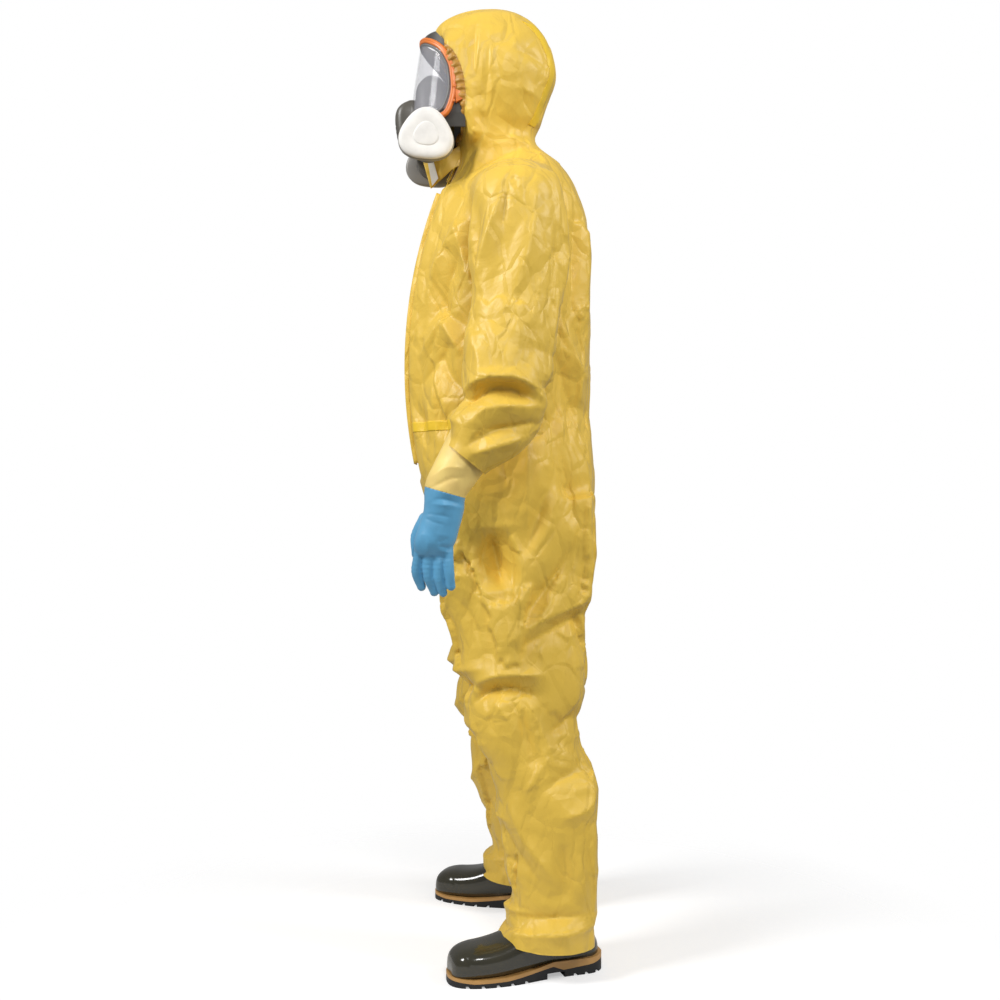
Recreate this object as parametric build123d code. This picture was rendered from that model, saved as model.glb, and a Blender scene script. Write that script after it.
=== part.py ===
"""Chemical protective suit with full-face respirator, gloves and rubber boots, in its worn shape.

Row frame, millimetres: +Z up from the floor, the front of the suit faces -Y, its left side is +X.
The origin lies on the floor, midway between the foremost and the rearmost point of the suit.
Fabric is a closed wall of WALL thickness with the true outer shape; rubber and plastic have real walls.
A bend in a limb is an open sector about the pivot, so that the two lengths never meet in the range.
"""

from build123d import *
import math
import os

# ---------------------------------------------------------------- driving sizes
HEIGHT = 1850.0  # crown of the hood above the floor
WALL = 3.0  # wall of a fabric solid
SKIN = 1.6  # wall of a dipped glove
GAP = 0.4  # running gap between bodies
FAR = 600.0  # longer than any cut has to reach

# front closure: one gentle arc in the middle plane, seen from the side
ZIP_CENTRE_Y = 786.0
ZIP_CENTRE_Z = 1130.0
ZIP_RADIUS = 960.0
ZIP_TOP = 25.6  # degrees above the arc's centre
ZIP_BOTTOM = -11.3
SLIDER_LENGTH = 0.9  # in degrees of the arc
ZIP_SLOT = 16.0  # half the gap between the front panels
FLAP_SPLIT = 4.7  # the storm flap opens in two lengths, which meet here
FLAP_TOP = 20.8
FLAP_BOTTOM = -11.3
FLAP_LIFT = 6.5  # the flap's inner face clears the slider's pull
FLAP_WALL = 1.8
FLAP_FREE_X = -34.0
FLAP_SEWN_X = 38.0

# pivots, as (y, z): the wearer's own joints, moved a little to the inner side of each bend
SHOULDER = (38.0, 1405.0)
ELBOW = (10.0, 1105.0)
HIP = (5.0, 900.0)
KNEE = (70.0, 515.0)
PIVOT_CLEAR = 8.0  # radius kept free round each pivot line

# open sectors, in degrees from straight up: front of the upper part, front of the lower part,
# then the same at the back
SHOULDER_OPEN = (50.0, 133.0, 85.0, 118.0)
ELBOW_OPEN = (36.0, 114.0, 88.0, 118.0)
HIP_OPEN = (78.0, 131.0, 88.0, 103.0)
KNEE_OPEN = (85.0, 93.0, 47.0, 130.0)

# arm
ELBOW_CENTRE = Vector(285, 20, 1105)
WRIST = Vector(315, -90, 881)
FINGERTIP = Vector(320, -119, 703)
SLEEVE_END = 181.0  # from the elbow, along the forearm
CUFF_WIDTH = 21.0

# leg and boot
STRIDE = {1: 0.0, -1: -44.0}  # how far each foot stands forward of the left one
ANKLE_X = 183.0
ANKLE_Y = 109.0
ANKLE_Z = 110.0
KNEE_X = 137.0
TOE_OUT = 18.0
SHAFT_TOP = 350.0
BOOT_WALL = 2.6
FOOT_BASE = 10.0
INSIDE_FLOOR = 38.0
ARCH_HEIGHT = 10.0
LUG_GROOVES = (-185, -158, -131, -104, -77, 20, 42, 64)

# respirator
FILTER_CENTRE = (-135.0, 1561.0)
FILTER_BACK_X = 96.0
PORT_RADIUS = 23.0
VISOR_WALL = 2.0


# ---------------------------------------------------------------- shared shapes
def zip_front(z):
    """The suit's foremost point at a height, on the arc of the front closure."""
    return ZIP_CENTRE_Y - math.sqrt(ZIP_RADIUS**2 - (z - ZIP_CENTRE_Z) ** 2)


def ring(z, front, back, half_x, x=0.0, grow=0.0):
    """A level ellipse from front to back, its half width half_x, its centre at x."""
    return Pos(x, (front + back) / 2, z) * Ellipse(half_x + grow, (back - front) / 2 + grow)


def solid_through(rings, grow=0.0):
    return loft([ring(*r, grow=grow) for r in rings], ruled=True)


def wall_through(rings, wall=WALL, outside=0.0):
    return solid_through(rings, outside) - solid_through(rings, outside - wall)


def side_prism(points, low_x, high_x):
    """A shape drawn from the side, as (y, z) points, carried from low_x to high_x."""
    return extrude(Plane.YZ.offset(low_x) * Polygon(*points, align=None), high_x - low_x, dir=(1, 0, 0))


def block(low, high):
    size = [b - a for a, b in zip(low, high)]
    return Pos(*low) * Box(*size, align=(Align.MIN, Align.MIN, Align.MIN))


def mirrored(shape):
    return mirror(shape, about=Plane.YZ)


def bearing(pivot, degrees, reach=FAR):
    """A point seen from a pivot, degrees from straight up towards the front."""
    angle = math.radians(degrees)
    return pivot[0] - reach * math.sin(angle), pivot[1] + reach * math.cos(angle)


def bend(pivot, opening, low_x, high_x):
    """The space a bend needs: a sector at the front, one at the back, and a bore on the pivot line."""
    front_up, front_low, back_up, back_low = opening
    spaces = []
    for low, high in ((front_up, front_low), (-back_low, -back_up)):
        fan = [pivot] + [bearing(pivot, low + (high - low) * i / 3) for i in range(4)]
        spaces.append(side_prism(fan, low_x, high_x))
    bore = extrude(Plane.YZ.offset(low_x) * Pos(*pivot) * Circle(PIVOT_CLEAR), high_x - low_x, dir=(1, 0, 0))
    return spaces + [bore]


def side_of_bend(pivot, opening, upper, low_x, high_x):
    """All that belongs above, or below, a bend."""
    front_up, front_low, back_up, back_low = opening
    first, last = (-back_up, front_up) if upper else (front_low, 360 - back_low)
    fan = [pivot] + [bearing(pivot, first + (last - first) * i / 5) for i in range(6)]
    return side_prism(fan, low_x, high_x)


def arc_point(radius, degrees):
    angle = math.radians(degrees)
    return ZIP_CENTRE_Y - radius * math.cos(angle), ZIP_CENTRE_Z + radius * math.sin(angle)


def arc_strip(inner, outer, low_deg, high_deg, low_x, high_x):
    """A strip that follows the arc of the front closure, between two radii."""
    middle = (low_deg + high_deg) / 2
    with BuildLine(Plane.YZ.offset(low_x)) as outline:
        ThreePointArc(arc_point(inner, low_deg), arc_point(inner, middle), arc_point(inner, high_deg))
        Line(arc_point(inner, high_deg), arc_point(outer, high_deg))
        ThreePointArc(arc_point(outer, high_deg), arc_point(outer, middle), arc_point(outer, low_deg))
        Line(arc_point(outer, low_deg), arc_point(inner, low_deg))
    return extrude(make_face(outline.edges()), high_x - low_x, dir=(1, 0, 0))


def along(start, end, distance, half_x, half_y, shift_y=0.0):
    """An ellipse square to the line from start to end, at a distance from start."""
    axis = (end - start).normalized()
    plane = Plane(origin=start + axis * distance, x_dir=(1, 0, 0), z_dir=axis)
    return plane * Pos(0, shift_y, 0) * Ellipse(half_x, half_y)


def limb(start, end, steps, wall):
    """A tube along a line: steps are (distance, half width, half depth, shift to the front)."""
    outer = loft([along(start, end, d, hx, hy, s) for d, hx, hy, s in steps], ruled=True)
    inner = loft([along(start, end, d, hx - wall, hy - wall, s) for d, hx, hy, s in steps], ruled=True)
    return outer, inner


# ---------------------------------------------------------------- coverall: trunk
TORSO_RINGS = [(z, zip_front(z), back, half_x) for z, back, half_x in (
    (1046, 181, 184), (1150, 188, 184), (1240, 191, 184), (1330, 188, 183),
    (1389, 184, 178), (1440, 175, 164), (1489, 158, 138), (1530, 126, 100), (1558, 100, 78))]
SEAT_RINGS = [
    (800, -118, 200, 180), (850, -132, 201, 188), (900, zip_front(900), 200, 190),
    (960, zip_front(960), 193, 188), (1020, zip_front(1020), 181, 184)]
WAIST_RINGS = [(1020, zip_front(1020), 181, 184), (1046, zip_front(1046), 181, 184)]
SHOULDER_STEPS = [(120, 100, 96, 1432), (190, 98, 92, 1424), (250, 90, 88, 1412), (296, 68, 70, 1402), (318, 36, 40, 1398)]


def shoulder_cap(shrink):
    """The dome over the arm's root: level with the shoulder's slope, closed at its outer end."""
    sections = [Plane(origin=(x - shrink, SHOULDER[0], z), x_dir=(0, 1, 0), z_dir=(1, 0, 0))
                * Ellipse(half_y - shrink, half_z - shrink) for x, half_y, half_z, z in SHOULDER_STEPS]
    return loft(sections, ruled=True)


def trunk():
    slot = block((-ZIP_SLOT, -FAR, 700), (ZIP_SLOT, 0, 1600))
    torso_solid = solid_through(TORSO_RINGS)
    cap_in = shoulder_cap(WALL)
    above_arm = side_of_bend(SHOULDER, SHOULDER_OPEN, True, 100, 400)
    shoulder = ((shoulder_cap(0) - cap_in) - torso_solid) & above_arm
    shoulder = max(shoulder.solids(), key=lambda s: s.volume)

    torso = wall_through(TORSO_RINGS) - slot - cap_in - mirrored(cap_in)
    back_half = block((-FAR, 25, 900), (FAR, FAR, 1700))
    front = torso - back_half
    seat = wall_through(SEAT_RINGS) - slot
    seat &= side_of_bend(HIP, HIP_OPEN, True, -FAR, FAR)
    for space in bend(HIP, HIP_OPEN, -FAR, FAR):
        seat -= space
    return {
        "torso_back": torso & back_half,
        "torso_front_left": front & block((0, -FAR, 900), (FAR, FAR, 1700)),
        "torso_front_right": front & block((-FAR, -FAR, 900), (0, FAR, 1700)),
        "shoulder_left": shoulder,
        "shoulder_right": mirrored(shoulder),
        "waist_elastic": wall_through(WAIST_RINGS, WALL + 1) - slot,
        "seat_front": seat - block((-FAR, 25, 600), (FAR, FAR, 1100)),
        "seat_back": seat & block((-FAR, 25, 600), (FAR, FAR, 1100)),
    }


# ---------------------------------------------------------------- front closure
def cross_pin(radius, degrees, size, half_length):
    """A round bar across the suit at a point of the arc."""
    y, z = arc_point(radius, degrees)
    return extrude(Plane.YZ.offset(-half_length) * Pos(y, z) * Circle(size), 2 * half_length, dir=(1, 0, 0))


def closure():
    r = ZIP_RADIUS
    tape = arc_strip(r - 2, r - 1, ZIP_BOTTOM, ZIP_TOP + 0.4, 2.6, ZIP_SLOT)
    teeth = arc_strip(r - 3, r, ZIP_BOTTOM, ZIP_TOP, 0.6, 2.6)
    top = ZIP_TOP
    span = (top - SLIDER_LENGTH, top)
    slider = arc_strip(r - 5, r + 2, *span, -0.3, 0.3)
    slider += arc_strip(r + GAP, r + 2, *span, -5, 5)
    slider += arc_strip(r - 5, r - 3 - GAP, *span, -5, 5)
    pivot = top - SLIDER_LENGTH / 2
    slider += arc_strip(r + 1.9, r + 4.6, pivot - 0.17, pivot + 0.17, -1.5, 1.5)
    slider -= cross_pin(r + 3.3, pivot, 0.8, 2)
    pull = arc_strip(r + 2.6, r + 4, top - 2.6, pivot - 0.21, -4, 4)
    pull += arc_strip(r + 2.6, r + 4, pivot - 0.22, pivot + 0.04, 1.8, 4)
    pull += arc_strip(r + 2.6, r + 4, pivot - 0.22, pivot + 0.04, -4, -1.8)
    pull += cross_pin(r + 3.3, pivot, 0.6, 3)

    inner = r + FLAP_LIFT
    outer = inner + FLAP_WALL
    upper = arc_strip(inner, outer, FLAP_SPLIT + 0.06, FLAP_TOP, FLAP_FREE_X, FLAP_SEWN_X)
    lower = arc_strip(inner, outer, FLAP_BOTTOM, FLAP_SPLIT, FLAP_FREE_X, FLAP_SEWN_X)
    base = arc_strip(r - 12, outer, FLAP_BOTTOM, FLAP_TOP, FLAP_SEWN_X + 1, FLAP_SEWN_X + 7)
    base -= solid_through(TORSO_RINGS)
    base -= solid_through(SEAT_RINGS)
    base -= solid_through(WAIST_RINGS)
    base = max(base.solids(), key=lambda s: s.volume)
    tape_strip = arc_strip(inner - 1.2, inner, FLAP_SPLIT + 0.6, FLAP_TOP - 0.4, FLAP_FREE_X + 2, FLAP_FREE_X + 14)
    return {
        "zip_tapes": Compound([tape, mirrored(tape)]),
        "zip_teeth": Compound([teeth, mirrored(teeth)]),
        "zip_slider": slider,
        "zip_pull": pull,
        "storm_flap_upper": upper,
        "storm_flap_lower": lower,
        "storm_flap_base": base,
        "storm_flap_adhesive": tape_strip,
    }


# ---------------------------------------------------------------- hood
HOOD_RINGS = [
    (1564, -80, 92, 80), (1590, -84, 78, 82), (1610, -88, 88, 90), (1645, -96, 98, 100),
    (1680, -104, 111, 108), (1712, -110, 119, 112), (1748, -118, 112, 110), (1782, -123, 92, 100),
    (1812, -112, 68, 80), (1836, -84, 44, 54), (HEIGHT, -46, 12, 20)]
# the face opening from the side: chin, cheek, temple, brow
FACE_EDGE = [(-70, 1586), (-58, 1602), (-57, 1650), (-65, 1700), (-87, 1744), (-114, 1783)]
FACE_HEM = 12.0
HOOD_SEAM_X = 45.0
TAPE_HALF = 11.0
CHIN_FLAP = [(-85, 1574), (-93, 1572), (-98, 1552), (-142, 1544), (-131, 1489), (-94, 1536), (-85.5, 1546)]
CHIN_FLAP_X = 14.0


def in_front_of(edge, shift):
    points = [(y + shift, z) for y, z in edge]
    return side_prism([(-FAR, edge[0][1]), *points, (-FAR, edge[-1][1] + 30)], -FAR, FAR)


def hood():
    shell = wall_through(HOOD_RINGS)
    open_face = in_front_of(FACE_EDGE, 0)
    hem_zone = in_front_of(FACE_EDGE, FACE_HEM) - open_face
    cloth = shell - open_face - hem_zone
    hem = (wall_through(HOOD_RINGS, WALL + 2) & hem_zone)
    throat = block((0, -FAR, 1500), (HOOD_SEAM_X, 0, FACE_EDGE[0][1] + 8))
    left = block((HOOD_SEAM_X, -FAR, 1500), (FAR, FAR, 1900)) + throat
    middle = block((-HOOD_SEAM_X, -FAR, 1500), (HOOD_SEAM_X, FAR, 1900)) - throat - mirrored(throat)
    tape_slab = block((HOOD_SEAM_X - TAPE_HALF, 0, 1600), (HOOD_SEAM_X + TAPE_HALF, FAR, 1800))
    tape = wall_through(HOOD_RINGS, 0.8, 0.9) & tape_slab
    chin = side_prism(CHIN_FLAP, CHIN_FLAP_X, CHIN_FLAP_X + 2)
    strip = side_prism([(-138, 1541), (-129, 1494), (-117, 1509), (-126, 1542)], CHIN_FLAP_X + 2, CHIN_FLAP_X + 3)
    return {
        "hood_centre": cloth & middle,
        "hood_left": cloth & left,
        "hood_right": cloth & mirrored(left),
        "hood_seam_tapes": Compound([*tape.solids(), *mirrored(tape).solids()]),
        "face_elastic": hem,
        "chin_flap": chin,
        "chin_flap_adhesive": strip,
    }


# ---------------------------------------------------------------- respirator
VISOR_RINGS = [
    (1592, -172, 12, 84), (1620, -172, 14, 87), (1680, -166, 10, 88), (1740, -157, 2, 85), (1792, -149, -8, 76)]
# the frame from the side: the edge of the clear window, and the frame's rear edge
WINDOW_EDGE = [(-175, 1636), (-128, 1619), (-106, 1622), (-98, 1640), (-92, 1664), (-91, 1688),
               (-97, 1716), (-118, 1749), (-156, 1774)]
FRAME_EDGE = [(-185, 1622), (-128, 1604), (-96, 1608), (-80, 1638), (-76, 1686), (-83, 1724),
              (-104, 1757), (-124, 1776), (-158, 1787)]
CHIN_RINGS = [(1554, -150, -104, 34), (1568, -164, -97, 54), (1591, -174, -90, 72)]
COVER_SIDE = [(-160, 1662), (-190, 1657), (-203, 1637), (-197, 1590), (-188, 1567), (-170, 1556), (-150, 1566)]
COVER_HALF = 33.0
NOSE_RINGS = [(1594, -162, -84, 46), (1640, -161, -84, 44), (1670, -157, -90, 36), (1698, -146, -102, 22), (1716, -134, -114, 10)]
SEAL_REAR = [(-61, 1593), (-61, 1650), (-69, 1702), (-91, 1748), (-120, 1786)]
VALVE_Z = 1606.0
VALVE_RADIUS = 15.0
STRAP_WIDTH = 16.0


def filter_outline(grow, turn=1.0):
    """The cartridge's rounded three-lobed outline, wider at the bottom."""
    lobes = [(0, 24, 26), (-20, -14, 32), (20, -12, 31)]
    circles = [Pos(y * turn, z) * Circle(r + grow) for y, z, r in lobes]
    return make_hull([edge for circle in circles for edge in circle.edges()])


def filter_set():
    """Cartridge, pad and retainer of the left side, outward along +X."""
    def disc(grow, low_x, high_x, centre=FILTER_CENTRE):
        return extrude(Plane.YZ.offset(low_x) * Pos(*centre) * filter_outline(grow), high_x - low_x, dir=(1, 0, 0))

    x = FILTER_BACK_X
    collar = extrude(Plane.YZ.offset(x - 12) * Pos(*FILTER_CENTRE) * Circle(PORT_RADIUS + 5), 12, dir=(1, 0, 0))
    collar -= extrude(Plane.YZ.offset(x - 12) * Pos(*FILTER_CENTRE) * Circle(PORT_RADIUS + GAP), 12, dir=(1, 0, 0))
    body = disc(0, x, x + 8) + collar
    pad = disc(-5, x + 8, x + 15)
    retainer = disc(0.8, x + 8, x + 19) - disc(-5, x + 8, x + 15) - disc(-20, x + 15, x + 19)
    return {"filter_body": body, "filter_pad": pad, "filter_retainer": retainer}


def respirator():
    shell = wall_through(VISOR_RINGS, VISOR_WALL)
    thick = solid_through(VISOR_RINGS, 4) - solid_through(VISOR_RINGS, -3)
    top = VISOR_RINGS[-1][0]
    window = side_prism([(-FAR, 1636), *WINDOW_EDGE, (-FAR, 1774)], -FAR, FAR)
    frame_zone = side_prism([(-FAR, 1622), *FRAME_EDGE, (-FAR, 1787)], -FAR, FAR) - window
    frame = thick & frame_zone
    lower_zone = block((-FAR, -FAR, 1500), (FAR, 0, 1640))
    seal_zone = side_prism([(-FAR, 1593), *SEAL_REAR, (-FAR, 1786)], -FAR, FAR) - window
    seal = (solid_through(VISOR_RINGS, -3.1) - solid_through(VISOR_RINGS, -5)) & seal_zone
    seal = max(seal.solids(), key=lambda s: s.volume)

    chin_out = solid_through(CHIN_RINGS)
    chin_in = solid_through([(z + 3, f + 3, b - 3, w - 3) for z, f, b, w in CHIN_RINGS[:1]]
                            + [(z, f + 3, b - 3, w - 3) for z, f, b, w in CHIN_RINGS[1:]])
    port = extrude(Plane.YZ.offset(30) * Pos(*FILTER_CENTRE) * Circle(PORT_RADIUS), FILTER_BACK_X - GAP - 30, dir=(1, 0, 0))
    port_bore = extrude(Plane.YZ.offset(30) * Pos(*FILTER_CENTRE) * Circle(PORT_RADIUS - 4), FILTER_BACK_X - 30, dir=(1, 0, 0))
    ports = (port - port_bore) + mirrored(port - port_bore)
    envelope = block((-90, -190, 1591), (90, -60, 1640))
    chin = (chin_out + (ports - chin_out - envelope)) - chin_in
    chin -= (port_bore & block((30, -FAR, 0), (FAR, 0, 2000)))
    chin -= mirrored(port_bore)
    chin = max(chin.solids(), key=lambda s: s.volume)

    cover_out = side_prism(COVER_SIDE, -COVER_HALF, COVER_HALF)
    cover_out = fillet(cover_out.edges().filter_by(Axis.X), 5)
    cover_in = Pos(0, 3, 0) * side_prism(COVER_SIDE, -COVER_HALF + 3, COVER_HALF - 3)
    cover = cover_out - cover_in - solid_through(VISOR_RINGS, 4 + GAP) - chin_out - chin
    cover = max(cover.solids(), key=lambda s: s.volume)
    louvre = [block((-22, -FAR, 1578 + 12 * i), (22, -150, 1582 + 12 * i)) for i in range(4)]
    for gap in louvre:
        cover -= gap

    to_front = Plane(origin=(0, -178, VALVE_Z), x_dir=(1, 0, 0), z_dir=(0, -1, 0))
    seat = extrude(to_front * (Circle(VALVE_RADIUS + 5) - Circle(VALVE_RADIUS - 4)), 3)
    disc = extrude(to_front.offset(3.2) * Circle(VALVE_RADIUS), 1)
    stem = extrude(to_front.offset(1) * Circle(2), 2.2)

    nose = wall_through(NOSE_RINGS, 2.5) + (solid_through(NOSE_RINGS) & block((-FAR, -FAR, 1713), (FAR, FAR, 1720)))
    nose -= block((-28, -104, 1590), (28, FAR, 1688))

    def band(centre_y, half_y, plane_z, tilt):
        place = Pos(0, centre_y, plane_z) * Rot(tilt, 0, 0)
        strap = Ellipse(83, half_y) - Ellipse(81.4, half_y - 1.6)
        return place * extrude(strap, STRAP_WIDTH)

    keep = block((-FAR, -55, 1600), (FAR, FAR, 1820))
    low_band = band(6, 74, 1647, 0) & keep
    high_band = band(-12, 96, 1718, -18) & block((-FAR, -86, 1600), (FAR, FAR, 1820))
    plate = block((-24, 76, 1650), (24, 78.5, 1712))
    harness = low_band + high_band + plate
    clip = block((85, -75, 1646), (91, -62, 1664)) - block((87, -72, 1649), (89, -62, 1661))
    return {
        "visor": shell & window,
        "visor_frame_upper": frame - lower_zone,
        "visor_frame_lower": frame & lower_zone,
        "face_seal": seal,
        "mask_body": chin,
        "valve_cover": cover,
        "valve_seat": seat,
        "valve_disc": disc + stem,
        "nose_cup": nose,
        "head_harness": harness,
        "strap_buckles": Compound([clip, mirrored(clip)]),
    }


# ---------------------------------------------------------------- sleeves and gloves
UPPER_SLEEVE = [(1420, -46, 122, 62, 247), (1310, -46, 126, 64, 256), (1220, -48, 122, 66, 266),
                (1160, -54, 110, 66, 275), (1080, -56, 96, 66, 288)]
FOREARM = [(-30, 66, 74, -6), (45, 66, 76, -14), (120, 60, 62, -6), (SLEEVE_END - CUFF_WIDTH, 53, 50, 0)]
CUFF = [(SLEEVE_END - CUFF_WIDTH, 53, 50, 0), (SLEEVE_END, 51, 48, 0)]
GAUNTLET = [(148, 45, 42, 0), (210, 40, 38, 0), (252, 35, 35, 0)]
PALM = [(0, 33, 34, 0), (40, 26, 37, 0), (85, 21, 40, 0), (118, 16, 38, 0)]
# fingers from the front one back: start across the palm, end across the palm, length past the knuckles
FINGERS = [(-27, -33, 60), (-9, -11, 68), (9, 12, 66), (26, 33, 52)]
FINGER_RADIUS = 10.0


def glove_hand(shrink):
    """Palm and five fingers; shrink makes the inside."""
    axis = (FINGERTIP - WRIST).normalized()
    across = Vector(0, axis.Z, -axis.Y) * -1
    outer = loft([along(WRIST, FINGERTIP, d, hx - shrink, hy - shrink) for d, hx, hy, _ in PALM], ruled=True)
    knuckles = WRIST + axis * 112
    radius = FINGER_RADIUS - shrink

    def finger(start, end, size):
        rod = Plane(origin=start, z_dir=(end - start).normalized()) * extrude(Circle(size), (end - start).length)
        return Pos(*start) * Sphere(size) + rod + Pos(*end) * Sphere(size)

    hand = outer
    for begin, finish, length in FINGERS:
        start = knuckles + across * begin
        end = start + across * (finish - begin) + axis * (length - FINGER_RADIUS)
        hand += finger(start, end, radius)
    thumb_root = WRIST + axis * 52 + across * -24 + Vector(-12, 0, 0)
    thumb_tip = WRIST + axis * 112 + across * -34 + Vector(-26, 0, 0)
    hand += finger(thumb_root, thumb_tip, radius + 1.5)
    return hand


def arm():
    """The left arm's pieces."""
    upper = wall_through(UPPER_SLEEVE) & side_of_bend(SHOULDER, SHOULDER_OPEN, False, 100, 400)
    upper &= side_of_bend(ELBOW, ELBOW_OPEN, True, 100, 400)
    forearm_out, forearm_in = limb(ELBOW_CENTRE, WRIST, FOREARM, WALL)
    lower = (forearm_out - forearm_in) & side_of_bend(ELBOW, ELBOW_OPEN, False, 100, 500)
    for space in bend(SHOULDER, SHOULDER_OPEN, 100, 400)[2:] + bend(ELBOW, ELBOW_OPEN, 100, 400)[2:]:
        upper -= space
        lower -= space
    cuff_out, cuff_in = limb(ELBOW_CENTRE, WRIST, CUFF, WALL + 1)
    gauntlet_out, gauntlet_in = limb(ELBOW_CENTRE, WRIST, GAUNTLET, SKIN)
    hand = glove_hand(0) - glove_hand(SKIN) - gauntlet_out
    hand = max(hand.solids(), key=lambda s: s.volume)
    return {
        "sleeve_upper": upper,
        "sleeve_lower": lower,
        "cuff_elastic": cuff_out - cuff_in,
        "glove_gauntlet": gauntlet_out - gauntlet_in,
        "glove_hand": hand,
    }


# ---------------------------------------------------------------- legs and boots
THIGH = [(885, -118, 200, 88, 101), (800, -112, 200, 90, 103), (747, -108, 196, 90, 107),
         (678, -103, 184, 86, 113), (606, -79, 162, 80, 122), (520, -60, 166, 76, 134), (460, -54, 160, 76, 140)]
SHIN = [(570, -66, 168, 77, 127), (493, -58, 166, 76, 137), (418, -43, 152, 74, 145), (343, -11, 190, 76, 155),
        (305, 0, 194, 76, 160), (192, 21, 200, 74, 172), (117, 36, 196, 74, 182), (56, 14, 190, 78, 188)]
HEM_CUT = [(-100, 106), (300, 56), (300, 0), (-100, 0)]
# boot sections: distance from the ankle's centre, half width, height of the top
FOOT = [(-206, 16, 40), (-198, 30, 52), (-178, 42, 62), (-140, 49, 66), (-100, 50, 74), (-60, 46, 93),
        (-20, 43, 128), (25, 42, 118), (55, 38, 84), (80, 25, 58)]
# shaft sections: height, half width, half depth, how far behind the shin's axis
SHAFT = [(70, 41, 52, 6), (110, 44, 54, 6), (160, 50, 56, 3), (250, 54, 58, 0), (SHAFT_TOP, 56, 60, 0)]
SOLE_PLAN = [(-207, 0), (-196, 30), (-170, 44), (-130, 51), (-90, 51), (-50, 45), (-10, 41), (35, 41), (66, 36), (82, 18), (84, 0)]
BAND_LOW = [(-215, 12), (-170, 8), (-110, 9), (-60, 15), (-20, 21), (0, 13), (60, 18), (90, 24)]
BAND_RISE = [(-215, 18), (-170, 14), (-110, 15), (-60, 21), (-20, 29), (0, 29), (60, 29), (90, 32)]


def stride_rings(rings, side):
    """Rings of one leg, each moved with its foot: all the way at the floor, not at all at the hip."""
    moved = []
    for z, front, back, half_x, x in rings:
        step = STRIDE[side] * min(1.0, max(0.0, (HIP[1] - 60 - z) / (HIP[1] - 160)))
        moved.append((z, front + step, back + step, half_x, side * x))
    return moved


def sole_outline(grow):
    edge = [(half + grow, y + math.copysign(grow, y)) for y, half in SOLE_PLAN]
    other = [(-x, y) for x, y in reversed(edge[1:-1])]
    return make_face(Spline([*edge, *other], periodic=True))


def shaft_lean(side):
    """How far a shin's axis moves across and back for each millimetre down."""
    knee_y = KNEE[0] - 15 + STRIDE[side] * (HIP[1] - 60 - KNEE[1]) / (HIP[1] - 160)
    drop = KNEE[1] - ANKLE_Z
    return (ANKLE_X - KNEE_X) / drop, (ANKLE_Y + STRIDE[side] - knee_y) / drop


def boot_foot(shrink):
    """The foot's outside over the floor, its ankle over the origin and its toe towards -Y."""
    sections = []
    for y, half, top in FOOT:
        plane = Plane(origin=(0, y, FOOT_BASE), x_dir=(1, 0, 0), z_dir=(0, 1, 0))
        sections.append(plane * Ellipse(half - shrink, top - shrink - FOOT_BASE))
    return Rot(0, 0, TOE_OUT) * loft(sections)


def boot_shaft(shrink, side):
    """The shaft follows the shin, not the foot's turn."""
    across, back = shaft_lean(side)
    sections = []
    for z, half_x, half_y, behind in SHAFT:
        rise = z - ANKLE_Z
        sections.append(Pos(-across * rise, behind - back * rise, z) * Ellipse(half_x - shrink, half_y - shrink))
    return loft(sections)


def boot(side):
    """A left boot in its own place; the right one is its mirror image."""
    def below(points):
        outline = [(-260, -FAR), *points, (260, points[-1][1]), (260, -FAR)]
        return Rot(0, 0, TOE_OUT) * side_prism(outline, -FAR, FAR)

    def sunk(low, high):
        return Rot(0, 0, TOE_OUT) * block(low, high)

    plan = Rot(0, 0, TOE_OUT) * extrude(sole_outline(1.5), 60)
    band = (plan & below(BAND_RISE)) - below(BAND_LOW)
    outsole = plan & below(BAND_LOW)
    outsole -= sunk((-80, -32, -1), (80, 2, ARCH_HEIGHT))
    for y in LUG_GROOVES:
        outsole -= sunk((-80, y, -1), (-18, y + 7, 4))
        outsole -= sunk((18, y, -1), (80, y + 7, 4))
    solid = boot_foot(0) + boot_shaft(0, side)
    inside = boot_foot(BOOT_WALL) - sunk((-80, -240, 0), (80, 120, INSIDE_FLOOR))
    inside += boot_shaft(BOOT_WALL, side) & block((-200, -200, INSIDE_FLOOR), (200, 200, FAR))
    upper = solid - below(BAND_RISE) - inside
    upper -= block((-200, -200, SHAFT_TOP - 1), (200, 200, FAR))
    upper = max(upper.solids(), key=lambda s: s.volume)
    return {"boot_upper": upper, "boot_band": band, "boot_outsole": outsole}


def place_boot(shape, side):
    placed = Pos(ANKLE_X, ANKLE_Y + STRIDE[side], 0) * shape
    return placed if side > 0 else mirrored(placed)


def leg(side):
    reach = (0, 400) if side > 0 else (-400, 0)
    thigh = wall_through(stride_rings(THIGH, side)) & side_of_bend(HIP, HIP_OPEN, False, *reach)
    thigh &= side_of_bend(KNEE, KNEE_OPEN, True, *reach)
    shin = wall_through(stride_rings(SHIN, side)) & side_of_bend(KNEE, KNEE_OPEN, False, *reach)
    shin -= side_prism(HEM_CUT, *reach)
    for space in bend(HIP, HIP_OPEN, *reach)[2:] + bend(KNEE, KNEE_OPEN, *reach)[2:]:
        thigh -= space
        shin -= space
    return {"leg_upper": thigh, "leg_lower": shin}


# ---------------------------------------------------------------- assembly
def build():
    nodes = {}
    nodes.update(trunk())
    nodes.update(closure())
    nodes.update(hood())
    nodes.update(respirator())
    for name, shape in filter_set().items():
        nodes[name + "_left"] = shape
        nodes[name + "_right"] = mirrored(shape)
    for name, shape in arm().items():
        nodes[name + "_left"] = shape
        nodes[name + "_right"] = mirrored(shape)
    for side, word in ((1, "left"), (-1, "right")):
        for name, shape in leg(side).items():
            nodes[f"{name}_{word}"] = shape
        for name, shape in boot(side).items():
            nodes[f"{name}_{word}"] = place_boot(shape, side)
    return nodes


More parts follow.
